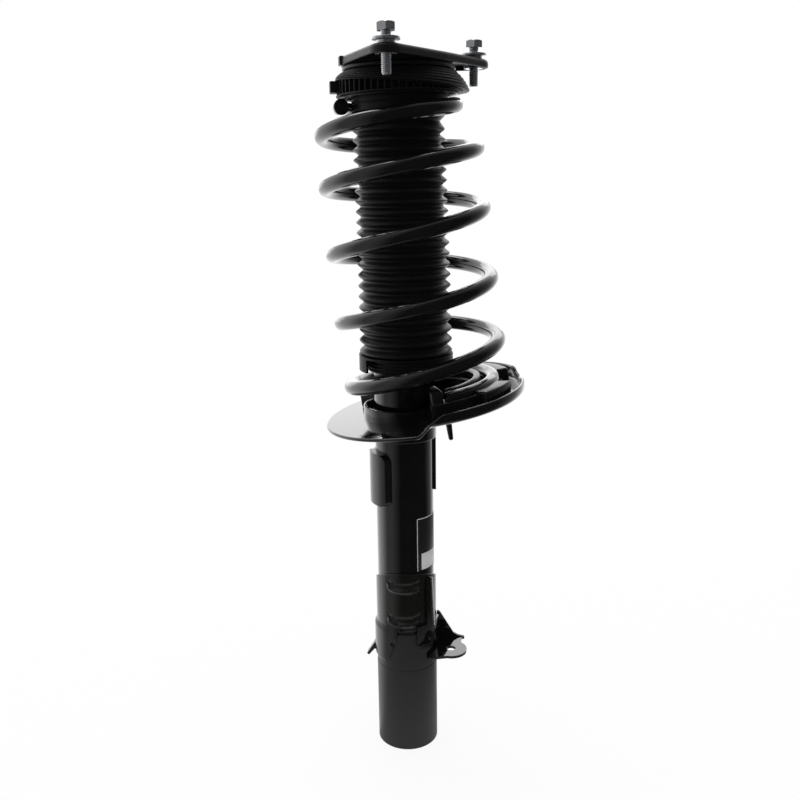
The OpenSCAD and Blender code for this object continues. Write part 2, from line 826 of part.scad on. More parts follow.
module upper_spring_seat() {
    tab_reach = 5.5;
    color([0.07, 0.07, 0.07])
        difference() {
            union() {
                intersection() {
                    translate([0, 0, upper_z - 20])
                        cylinder(r = upper_r - rib_depth, h = 60);
                    wedge_space(0);
                }
                intersection() {
                    contact_frame(upper_pad_t + fit_gap)
                        cylinder(r = upper_r + 0.3, h = 1.2);
                    wedge_space(0);
                }
                intersection() {
                    for (i = [0 : ribs - 1])
                        rotate([0, 0, 360 / ribs * (i + 0.5)])
                            translate([upper_r - rib_depth - 1, -rib_t / 2, upper_z - 20])
                                cube([rib_depth + 0.8, rib_t, 60]);
                    wedge_space(0.6);
                }
                translate([0, 0, boot_z1])
                    cylinder(r = drum_r, h = upper_z - boot_z1 + 3);
                flange_frame(-flange_t)
                    cylinder(r = flange_r, h = flange_t);
                rotate([0, 0, 186])
                    translate([upper_r - 4, -7, flange_z - 3.5])
                        cube([4 + tab_reach, 14, 5.5]);
            }
            translate([0, 0, boot_z1 - 1])
                cylinder(r = housing_bore - 1.5, h = 60);
        }
}

module upper_insulator() {
    color([0.1, 0.1, 0.1])
        contact_frame(0)
            difference() {
                cylinder(r = upper_r - rib_depth - 0.4, h = upper_pad_t);
                translate([0, 0, -1])
                    cylinder(r = drum_r + loose_gap, h = upper_pad_t + 2);
            }
}

// Stepped rings whose tilt fades out from the ribbed ring up to the level bearing
module bearing_housing() {
    steps = 4;
    rise = housing_z - flange_z;
    color([0.08, 0.08, 0.08])
        difference() {
            union() {
                for (i = [0 : steps - 1])
                    translate([2.8 * (1 - i / steps), 0, flange_z + rise * (i + 1) / steps])
                        rotate([0, flange_tilt * (1 - (i + 1) / steps), 0])
                            translate([0, 0, -rise / 2 - 1])
                                cylinder(r = housing_r + 9 * (1 - i / steps) ^ 1.3 - 1,
                                    h = rise / 2 + 1);
                translate([0, 0, housing_z - 4])
                    cylinder(r = housing_r, h = 4);
            }
            flange_frame(-40 + fit_gap)
                cylinder(r = 70, h = 40);
            translate([0, 0, housing_z])
                cylinder(r = 70, h = 10);
            translate([0, 0, upper_z - 20])
                cylinder(r = housing_bore, h = 60);
            tube_ring(race_out + fit_gap, race_in - fit_gap, low_race_z - fit_gap, 20);
        }
}

module race(z0, z1, groove_z) {
    rotate_extrude()
        difference() {
            translate([race_in, z0])
                square([race_out - race_in, z1 - z0]);
            translate([ball_r, groove_z])
                circle(r = ball_d / 2 + race_play);
        }
}

module bearing_lower_race() {
    color([0.7, 0.7, 0.72])
        race(low_race_z, low_race_z + race_t, ball_z);
}

module bearing_upper_race() {
    color([0.7, 0.7, 0.72])
        race(ball_z + race_gap, ball_z + race_gap + race_t, ball_z);
}

module ball_cage() {
    cage_w = race_w / 2 - 0.2;
    color([0.3, 0.25, 0.15])
        difference() {
            tube_ring(ball_r + cage_w, ball_r - cage_w, ball_z - 0.5, 1);
            for (i = [0 : balls - 1])
                rotate([0, 0, 360 * i / balls])
                    translate([ball_r, 0, ball_z - 1])
                        cylinder(r = ball_d / 2 + race_play, h = 2, $fn = 32);
        }
}

module bearing_balls() {
    color([0.8, 0.8, 0.82])
        for (i = [0 : balls - 1])
            rotate([0, 0, 360 * i / balls])
                translate([ball_r, 0, ball_z])
                    sphere(d = ball_d, $fn = 32);
}

// ---- top mount ----
plate_z0 = mount_z - plate_t;
rubber_r = 33;
sleeve_top = mount_z - 9;
sleeve_low = mount_z - 20.5;
core_r = 13;
bolt_angles = [-98, 22, 122];
up_race_top = ball_z + race_gap + race_t;

module mount_cup() {
    wall = 3;
    floor_top = up_race_top + 2;
    shoulder_z = mount_z - plate_rim - 0.5;
    neck = plate_mid_d / 2 - plate_t - 0.3;
    color([0.06, 0.06, 0.06])
        difference() {
            rotate_extrude()
                polygon([
                    [rubber_r, cup_z], [housing_r - 1, cup_z], [housing_r, cup_z + 1],
                    [housing_r, shoulder_z - 1], [housing_r - 1, shoulder_z], [neck, shoulder_z],
                    [neck, plate_z0 - fit_gap], [neck - wall, plate_z0 - fit_gap],
                    [neck - wall, floor_top],
                    [rubber_r, floor_top]
                ]);
            tube_ring(race_out + fit_gap, race_in - fit_gap, cup_z - 1, up_race_top + fit_gap - cup_z + 1);
        }
}

module mount_rubber() {
    color([0.08, 0.08, 0.08])
        rotate_extrude()
            polygon([
                [core_r + fit_gap, sleeve_low + 2], [core_r + 8, sleeve_low + 2], [rubber_r - 5, cup_z - 3],
                [rubber_r - fit_gap, cup_z + 0.5], [rubber_r - fit_gap, up_race_top + 1.5],
                [core_r + 10, sleeve_top - 2], [core_r + fit_gap, sleeve_top - 2]
            ]);
}

thread_r = 7;

module mount_sleeve() {
    color([0.45, 0.45, 0.46])
        difference() {
            rotate_extrude()
                polygon([
                    [thread_r + fit_gap, sleeve_low], [core_r, sleeve_low], [core_r, sleeve_top],
                    [thread_r + fit_gap, sleeve_top]
                ]);
        }
}

function at(a) = [bolt_circle_d / 2 * cos(a), bolt_circle_d / 2 * sin(a)];

// Outline with rounded corners round the bolts, each joined to the round middle by tangents
module plate_outline(inset) {
    mid_r = plate_mid_d / 2 - inset;
    r = corner_r - inset;
    circle(r = mid_r);
    for (a = bolt_angles)
        rotate([0, 0, a])
            lobe(mid_r, r);
    edge_between(bolt_angles[0], bolt_angles[1], r);
}

module lobe(mid_r, r) {
    reach = bolt_circle_d / 2;
    turn = acos((mid_r - r) / reach);
    translate([reach, 0])
        circle(r = r);
    polygon([
        mid_r * [cos(turn), sin(turn)], mid_r * [cos(turn), -sin(turn)],
        [reach, 0] + r * [cos(turn), -sin(turn)], [reach, 0] + r * [cos(turn), sin(turn)]
    ]);
}

// The straight edge between two neighbouring corners
module edge_between(a0, a1, r) {
    p = at(a0);
    q = at(a1);
    out = unit([q[1] - p[1], p[0] - q[0]]);
    polygon([[0, 0], p, p + r * out, q + r * out, q]);
}

module mount_plate() {
    hole_r = 24;
    ear_a = 190;
    color([0.06, 0.06, 0.06])
        difference() {
            union() {
                translate([0, 0, plate_z0])
                    linear_extrude(plate_t)
                        plate_outline(0);
                translate([0, 0, mount_z - plate_rim])
                    linear_extrude(plate_rim - plate_t + e)
                        difference() {
                            plate_outline(0);
                            plate_outline(plate_t);
                        }
                rotate([0, 0, ear_a])
                    translate([plate_mid_d / 2 - 3, -5, mount_z - plate_rim])
                        cube([4.8, 10, plate_rim]);
            }
            translate([0, 0, plate_z0 - 1])
                cylinder(r = hole_r, h = plate_t + 2);
            for (a = bolt_angles)
                translate([at(a)[0], at(a)[1], plate_z0 - 1])
                    cylinder(d = bolt_d + 1, h = plate_t + 2);
        }
}

nut_h = 3.6;
nut_af = 14;

module weld_nuts() {
    color([0.5, 0.5, 0.5])
        for (a = bolt_angles)
            translate([at(a)[0], at(a)[1], plate_z0 - nut_h - fit_gap])
                difference() {
                    cylinder(d = nut_af / cos(30), h = nut_h, $fn = 6);
                    translate([0, 0, -1])
                        cylinder(d = bolt_d + 2 * fit_gap, h = nut_h + 2);
                }
}

head_h = 5.7;
washer_t = 2.2;
boss_h = 2.5;

// The third bolt is run down on its washer, the two others stand part way out
function out_of(a) = a == bolt_angles[2] ? boss_h + washer_t + 2 * fit_gap : bolt_out;

module tower_bolts() {
    color([0.7, 0.72, 0.75])
        for (a = bolt_angles)
            translate([at(a)[0], at(a)[1], mount_z + out_of(a)]) {
                cylinder(d = bolt_af / cos(30), h = head_h, $fn = 6);
                translate([0, 0, -bolt_len])
                    cylinder(d = bolt_d, h = bolt_len + e);
            }
}

// Each washer is a wide disc on a narrower boss
module bolt_washers() {
    boss_r = 7;
    hole_r = bolt_d / 2 + fit_gap;
    color([0.7, 0.72, 0.75])
        for (a = bolt_angles)
            translate([at(a)[0], at(a)[1], mount_z + fit_gap])
                rotate_extrude()
                    polygon([
                        [hole_r, 0], [boss_r, 0], [boss_r, boss_h], [washer_d / 2, boss_h + 0.4],
                        [washer_d / 2, boss_h + washer_t], [hole_r, boss_h + washer_t]
                    ]);
}

rod_top = mount_z + 1;
washer_top = sleeve_top + 2.5;

module rebound_washer() {
    color([0.4, 0.4, 0.42])
        tube_ring(20, thread_r + fit_gap, sleeve_top + fit_gap, washer_top - sleeve_top - fit_gap);
}

module rod_nut() {
    color([0.6, 0.6, 0.62])
        difference() {
            translate([0, 0, washer_top + fit_gap])
                cylinder(d = 21 / cos(30), h = 8, $fn = 6);
            translate([0, 0, washer_top - 1])
                cylinder(r = thread_r + fit_gap, h = 12);
        }
}

bump_z1 = sleeve_low - 7;
bump_z0 = bump_z1 - 76;

module bump_stop() {
    bore = rod_r + 0.5;
    color([0.75, 0.7, 0.5])
        rotate_extrude()
            polygon([
                [bore, bump_z0], [bore + 5, bump_z0], [bore + 9, bump_z0 + 10], [bore + 6, bump_z0 + 17],
                [bore + 12, bump_z0 + 28], [bore + 8, bump_z0 + 38], [bore + 15, bump_z0 + 50],
                [bore + 10, bump_z0 + 60], [bore + 15, bump_z0 + 68], [bore + 15, bump_z1], [bore, bump_z1]
            ]);
}

module bump_stop_cup() {
    inner = rod_r + 0.5 + 15 + fit_gap;
    color([0.1, 0.1, 0.1])
        rotate_extrude()
            polygon([
                [rod_r + 0.3, bump_z1 + fit_gap], [inner, bump_z1 + fit_gap], [inner, bump_z1 - 8],
                [inner + 1.6, bump_z1 - 8], [inner + 1.6, bump_z1 + 2.4], [rod_r + 0.3, bump_z1 + 2.4]
            ]);
}

rod_shoulder = sleeve_low - fit_gap;
piston_stud_r = 6;

module piston_rod() {
    color([0.8, 0.8, 0.82])
        rotate_extrude()
            polygon([
                [0, piston_z - 12], [piston_stud_r, piston_z - 12], [piston_stud_r, piston_z + piston_h],
                [rod_r, piston_z + piston_h], [rod_r, rod_shoulder], [thread_r, rod_shoulder],
                [thread_r, rod_top - 1], [thread_r - 1, rod_top], [0, rod_top]
            ]);
}

module piston() {
    outer = bore_d / 2 - 1;
    color([0.5, 0.48, 0.45])
        difference() {
            tube_ring(outer, piston_stud_r + fit_gap, piston_z, piston_h - fit_gap);
            for (i = [0 : 5])
                rotate([0, 0, 60 * i])
                    translate([10.5, 0, piston_z - 1])
                        cylinder(d = 2.6, h = piston_h + 2, $fn = 24);
        }
}

module piston_band() {
    color([0.35, 0.3, 0.25])
        tube_ring(bore_d / 2 - run_gap, bore_d / 2 - 1 + fit_gap, piston_z + 3, piston_h - 6);
}

module piston_nut() {
    color([0.6, 0.6, 0.62])
        difference() {
            translate([0, 0, piston_z - 8])
                cylinder(d = 19 / cos(30), h = 8 - fit_gap, $fn = 6);
            translate([0, 0, piston_z - 9])
                cylinder(r = piston_stud_r + fit_gap, h = 10);
        }
}

module rebound_stop() {
    stop_h = 12;
    color([0.3, 0.3, 0.3])
        tube_ring(rod_r + 4.5, rod_r + fit_gap, guide_z - stop_h - 0.5, stop_h);
}

reserve_tube();
clamp_sleeve();
end_plug();
pressure_tube();
base_valve();
rod_guide();
guide_bush();
rod_seal();
tube_cap();
knuckle_band();
locating_tab();
hose_bracket();
link_bracket();
lower_spring_seat();
seat_insulator();
coil_spring();
boot_collar();
dust_boot();
upper_spring_seat();
upper_insulator();
bearing_lower_race();
ball_cage();
bearing_balls();
bearing_upper_race();
bearing_housing();
mount_cup();
mount_rubber();
mount_sleeve();
mount_plate();
rebound_washer();
rod_nut();
weld_nuts();
tower_bolts();
bolt_washers();
bump_stop();
bump_stop_cup();
piston_rod();
piston();
piston_band();
piston_nut();
rebound_stop();
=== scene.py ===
"""Suspension strut: coil spring, boot, seats, brackets, mount plate and their finishes."""
import math

import bpy
import numpy as np
from bpy.props import FloatProperty, FloatVectorProperty, IntProperty, PointerProperty
from mathutils import Euler, Matrix, Vector


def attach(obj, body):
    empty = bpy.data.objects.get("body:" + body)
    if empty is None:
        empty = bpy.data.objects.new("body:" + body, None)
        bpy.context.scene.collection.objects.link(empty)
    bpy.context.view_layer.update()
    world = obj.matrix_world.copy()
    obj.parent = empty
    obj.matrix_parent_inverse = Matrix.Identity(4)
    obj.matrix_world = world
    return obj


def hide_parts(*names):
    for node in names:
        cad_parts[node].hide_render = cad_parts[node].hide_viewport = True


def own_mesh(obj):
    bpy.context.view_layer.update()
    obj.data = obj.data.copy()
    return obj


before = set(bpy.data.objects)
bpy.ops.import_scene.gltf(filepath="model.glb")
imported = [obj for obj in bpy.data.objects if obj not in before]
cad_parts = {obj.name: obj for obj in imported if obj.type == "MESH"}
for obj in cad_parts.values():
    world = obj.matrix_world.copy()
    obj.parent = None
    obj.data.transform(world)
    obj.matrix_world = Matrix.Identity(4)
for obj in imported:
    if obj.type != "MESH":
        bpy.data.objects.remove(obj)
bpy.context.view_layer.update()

bl_info = {
    "name": "Suspension strut",
    "version": (1, 0, 0),
    "blender": (4, 5, 0),
    "location": "3D View > Sidebar > Strut",
    "description": "Builds the visible pieces and finishes of a front suspension strut",
    "category": "Add Mesh",
}

MM = 0.001

# Sizes shared by several pieces, in millimetres and degrees, as in the solids
TUBE_R = 25.3
SLEEVE_LEN = 116.0
TUBE_LEN = 364.0
WIRE_R = 6.25
MOUNT_Z = 604.5
SEAT_Z = TUBE_LEN - 45
SEAT_X = 19.0
SEAT_TILT = 8.2
SEAT_T = 3.0
SEAT_STEP = 7.0
SEAT_RIM = 7.0
SEAT_R = 87.0
PAD_T = 4.0
COIL_LEAN = 20.0
COIL_LOW_R = 57.0
COIL_TOP_R = 46.5
COIL_START = -76.0
COIL_END = 2000.0
UPPER_Z = MOUNT_Z - 30.5
COLLAR_LOW = TUBE_LEN - 10
COLLAR_TOP = TUBE_LEN + 3.5
COLLAR_X = 2.66
BOOT_LOW = COLLAR_TOP + 0.9
BOOT_TOP = UPPER_Z - 22
TOP_TILT = 1.4
COVER_TILT = 5.2
FLANGE_Z = MOUNT_Z - 22.2
HOUSING_Z = MOUNT_Z - 11.6
BAND_Z = SLEEVE_LEN + 3
BAND_H = 56.0
BOLT_ANGLES = (-98.0, 22.0, 122.0)
BOLT_RING_R = 66.0
PLATE_T = 3.2
PLATE_RIM = 7.0


# ---- shapes worked out as arrays ----

def turn(degrees):
    """Degrees to radians."""
    return np.radians(degrees)


def ease(x, a, b):
    """A smooth step from 0 at a to 1 at b: 3 s squared minus 2 s cubed."""
    s = np.clip((np.asarray(x, float) - a) / (b - a), 0, 1)
    return s * s * (3 - 2 * s)


def unit(v):
    """Vectors of length one along the last axis."""
    return v / np.linalg.norm(v, axis=-1, keepdims=True)


def quads(rows, cols, wrap_rows, wrap_cols):
    """Index quads of a rows by cols grid of points, closed along the axes that wrap."""
    i = np.arange(rows if wrap_rows else rows - 1)[:, None]
    j = np.arange(cols if wrap_cols else cols - 1)[None, :]
    k, m = (i + 1) % rows, (j + 1) % cols
    corners = np.broadcast_arrays(i * cols + j, k * cols + j, k * cols + m, i * cols + m)
    return np.stack(corners, -1).reshape(-1, 4)


def shell(points, wrap_rows=False, wrap_cols=True):
    """Points of shape (rows, cols, 3) as one closed skin of quads, its open ends capped."""
    rows, cols, _ = points.shape
    faces = quads(rows, cols, wrap_rows, wrap_cols).tolist()
    if not wrap_rows:
        faces.append(list(range(cols)))
        faces.append(list(range((rows - 1) * cols, rows * cols))[::-1])
    if not wrap_cols:
        faces.append([r * cols for r in range(rows)][::-1])
        faces.append([r * cols + cols - 1 for r in range(rows)])
    return points.reshape(-1, 3), faces


def outward(points, faces):
    """The faces turned so that the enclosed volume, a sum of tetrahedra, is positive."""
    tri = np.array([f[:3] for f in faces] + [[f[0], f[2], f[3]] for f in faces if len(f) == 4])
    a, b, c = points[tri[:, 0]], points[tri[:, 1]], points[tri[:, 2]]
    volume = np.einsum("ij,ij->i", a, np.cross(b, c)).sum()
    return faces if volume > 0 else [f[::-1] for f in faces]


def joined(*parts):
    """Several (points, faces) skins as one, each turned outward first."""
    points, faces, base = [], [], 0
    for p, f in parts:
        faces += [[base + n for n in face] for face in outward(p, f)]
        points.append(p)
        base += len(p)
    return np.concatenate(points), faces


def rounded(corners, radius, steps=4):
    """A closed outline with each corner replaced by a quadratic curve that starts and ends
    radius away from it, or at most 0.45 of the way along its edges."""
    p = np.asarray(corners, float)
    before, after = np.roll(p, 1, 0) - p, np.roll(p, -1, 0) - p
    lb, la = np.linalg.norm(before, axis=1), np.linalg.norm(after, axis=1)
    cut = np.minimum(radius, 0.45 * np.minimum(lb, la))[:, None]
    start, end = p + before / lb[:, None] * cut, p + after / la[:, None] * cut
    t = np.linspace(0, 1, steps)[None, :, None]
    curve = (1 - t) ** 2 * start[:, None] + 2 * t * (1 - t) * p[:, None] + t * t * end[:, None]
    return curve.reshape(-1, 2)


def arc(x, y, radius, a0, a1, steps=6):
    """Outline points on a circle about x, y, from one angle to another in degrees."""
    a = turn(np.linspace(a0, a1, steps))
    return np.stack([x + radius * np.cos(a), y + radius * np.sin(a)], -1)


def polar(r, degrees, z, centre=(0.0, 0.0)):
    """Points at radius r, an angle and height z about the upright axis through centre."""
    a = turn(degrees)
    x, y = centre[0] + r * np.cos(a), centre[1] + r * np.sin(a)
    return np.stack(np.broadcast_arrays(x, y, z), -1)


def revolve(profile, cols=96, a0=0.0, a1=360.0, centre=(0.0, 0.0)):
    """A closed (radius, height) outline turned about the upright axis through centre."""
    whole = a1 - a0 >= 360
    angle = np.linspace(a0, a1, cols, endpoint=not whole)
    return shell(polar(profile[:, :1], angle, profile[:, 1:], centre), True, whole)


def arc_block(r0, r1, z0, z1, a0, a1, soft, cols, centre=(0.0, 0.0)):
    """A block bent round an axis, with all its edges rounded: the cross-section shrinks by
    soft (1 - sqrt(1 - t squared)) over the last soft millimetres of either end."""
    mid_r = (r0 + r1) / 2
    end = math.degrees(soft / mid_r)
    quarter = np.linspace(0, math.pi / 2, 5)
    t = np.sin(quarter)
    rise = a0 + end * (1 - np.cos(quarter))
    middle = np.linspace(a0 + end, a1 - end, cols)[1:-1]
    angle = np.concatenate([rise, middle, (a0 + a1 - rise)[::-1]])
    inset = soft * np.concatenate([1 - t, np.zeros(cols - 2), (1 - t)[::-1]])
    base = rounded([[r0, z0], [r1, z0], [r1, z1], [r0, z1]], soft)
    core = np.array([mid_r, (z0 + z1) / 2])
    half = np.array([(r1 - r0) / 2, (z1 - z0) / 2])
    scale = 1 - inset[:, None] / half[None, :]
    loop = core + (base[None, :, :] - core) * scale[:, None, :]
    return shell(polar(loop[..., 0], angle[:, None], loop[..., 1], centre))


def bent_sheet(a0, a1, low, high, inner, outer, soft, cols, rows):
    """A sheet bent round the axis. Its walls lie at radius inner and outer of angle and height,
    between the heights low and high of angle. Edges are half round, and the sheet narrows by
    soft (1 - sqrt(1 - t squared)) over the last soft millimetres at either end."""
    end = math.degrees(soft / TUBE_R)
    rise = end * (1 - np.cos(np.linspace(0, math.pi / 2, 5)))
    middle = np.linspace(a0 + end, a1 - end, cols)[1:-1]
    a = np.concatenate([a0 + rise, middle, (a1 - rise)[::-1]])[:, None]
    t = np.clip(1 - np.minimum(a - a0, a1 - a) / end, 0, 1)
    inset = soft * (1 - np.sqrt(1 - t ** 2))
    z0, z1 = low(a) + soft + inset, high(a) - soft - inset
    z = z0 + (z1 - z0) * np.linspace(0, 1, rows)
    r1, r0 = outer(a, z) - inset, inner(a, z) + inset
    k = turn(np.linspace(0, 180, 7)[1:-1])
    top = (r0 + r1)[:, -1:] / 2 + (r1 - r0)[:, -1:] / 2 * np.cos(k)
    foot = (r0 + r1)[:, :1] / 2 - (r1 - r0)[:, :1] / 2 * np.cos(k)
    r = np.concatenate([r1, top, r0[:, ::-1], foot], 1)
    zz = np.concatenate([z, z1 + soft * np.sin(k), z[:, ::-1], z0 - soft * np.sin(k)], 1)
    return shell(polar(r, a, zz))


def twisted(points, rate, z0):
    """Points turned about the upright axis by rate degrees for each millimetre above z0."""
    x, y, z = points.T
    a = turn(rate * (z - z0))
    return np.stack([x * np.cos(a) - y * np.sin(a), x * np.sin(a) + y * np.cos(a), z], -1)


def tilted(points, degrees, x0, z0):
    """Points tilted about Y, so that +X rises, and then moved by x0 and z0."""
    t = math.radians(degrees)
    x, y, z = points[..., 0], points[..., 1], points[..., 2]
    return np.stack([x0 + x * math.cos(t) - z * math.sin(t), y,
                     z0 + x * math.sin(t) + z * math.cos(t)], -1)


def in_seat_frame(points):
    """Points of the lower seat's own frame, tilted and set on the tube."""
    return tilted(points, SEAT_TILT, SEAT_X, SEAT_Z)


def moved(skin, place):
    """A skin with its points passed through place."""
    return place(skin[0]), skin[1]


def piece(name, skin, body, slot, replaces=(), sharp=38, finish=None):
    """A mesh object in metres from a millimetre skin, smooth-shaded below the sharp angle."""
    points, faces = skin
    mesh = bpy.data.meshes.new(name)
    mesh.from_pydata((points * MM).tolist(), [], faces)
    mesh.validate()
    mesh.shade_smooth()
    mesh.set_sharp_from_angle(angle=math.radians(sharp))
    obj = bpy.data.objects.new(name, mesh)
    bpy.context.scene.collection.objects.link(obj)
    obj.data.materials.append(finish_of(finish or slot))
    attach(obj, body)
    if replaces:
        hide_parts(*replaces)
    return obj


# ---- shader maths ----

class Val:
    """A shader socket whose arithmetic adds Math nodes."""

    def __init__(self, net, socket):
        self.net = net
        self.socket = socket

    def math(self, operation, *others, swap=False):
        """A Math node of this value and others, in the opposite order with swap."""
        parts = [self, *others]
        if swap:
            parts.reverse()
        return self.net.node("ShaderNodeMath", {"operation": operation}, dict(enumerate(parts)))

    def __add__(self, other):
        return self.math("ADD", other)

    __radd__ = __add__

    def __sub__(self, other):
        return self.math("SUBTRACT", other)

    def __rsub__(self, other):
        return self.math("SUBTRACT", other, swap=True)

    def __mul__(self, other):
        return self.math("MULTIPLY", other)

    __rmul__ = __mul__


class Net:
    """The node tree of one material, made empty but for its output."""

    def __init__(self, tree):
        self.tree = tree
        tree.nodes.clear()

    def node(self, kind, settings=None, values=None, out=0):
        """A node of a kind: its settings first, then the values or links of its sockets."""
        made = self.tree.nodes.new(kind)
        for key, value in (settings or {}).items():
            setattr(made, key, value)
        for key, value in (values or {}).items():
            if isinstance(value, Val):
                self.tree.links.new(value.socket, made.inputs[key])
            else:
                made.inputs[key].default_value = value
        return Val(self, made.outputs[out]) if made.outputs else made

    def noise(self, scale, detail):
        """Noise from 0 to 1 on the piece's own coordinates, in metres times scale."""
        where = self.node("ShaderNodeTexCoord", out="Object")
        return self.node("ShaderNodeTexNoise", None,
                         {"Vector": where, "Scale": scale, "Detail": detail})

    def mix(self, share, a, b):
        """Colour a to colour b by share."""
        return self.node("ShaderNodeMix", {"data_type": "RGBA"},
                         {0: share, 6: a, 7: b}, out=2)

    def spread(self, value, low, high):
        """value mapped from low..high to 0..1 and held there."""
        return self.node("ShaderNodeMapRange", {"clamp": True},
                         {"Value": value, "From Min": low, "From Max": high})


def rgb(grey, tint=(1, 1, 1)):
    """A linear colour of one grey level times a tint, with alpha."""
    return (grey * tint[0], grey * tint[1], grey * tint[2], 1.0)


def make_finish(name, colour, worn_and_highlight, rough, rough_play=0.06, metal=0.0, coat=0.0,
                coat_rough=0.1, grain=900.0, grain_height=0.00002, wave=0.0, wave_scale=40.0,
                edge=0.0006, edge_wear_and_highlight=0.0, patch=30.0, spec=0.5):
    """A surface: base colour drifting to a second one in soft patches, and towards it along
    rounded edges as part wear and part painted highlight; roughness that drifts with it, fine
    grain and long soft waves in the bump, and edges rounded in the shading by the Bevel node."""
    material = bpy.data.materials.new(name)
    material.use_nodes = True
    net = Net(material.node_tree)
    soft = net.node("ShaderNodeBevel", {"samples": 4}, {"Radius": edge})
    patches = net.spread(net.noise(patch, 3.0), 0.35, 0.75)
    fine = net.noise(grain, 2.0)
    share = patches * 0.5
    # Where the Bevel normal leaves the plain one, at rounded edges, the colour goes towards the
    # second one: part wear, part painted highlight
    if edge_wear_and_highlight:
        plain = net.node("ShaderNodeNewGeometry", out="Normal")
        facing = net.node("ShaderNodeVectorMath", {"operation": "DOT_PRODUCT"},
                          {0: soft, 1: plain}, out="Value")
        share = share + net.spread(1 - facing, 0.02, 0.25) * edge_wear_and_highlight
    height = fine * grain_height
    if wave:
        height = height + net.noise(wave_scale, 1.0) * wave
    bump = net.node("ShaderNodeBump", None,
                    {"Height": height, "Normal": soft, "Strength": 1.0, "Distance": 1.0})
    shader = net.node("ShaderNodeBsdfPrincipled", None, {
        "Base Color": net.mix(share, colour, worn_and_highlight),
        "Roughness": patches * rough_play + rough,
        "Metallic": metal,
        "Coat Weight": coat,
        "Coat Roughness": coat_rough,
        "Specular IOR Level": spec,
        "Normal": bump,
    })
    net.node("ShaderNodeOutputMaterial", None, {"Surface": shader})
    return material


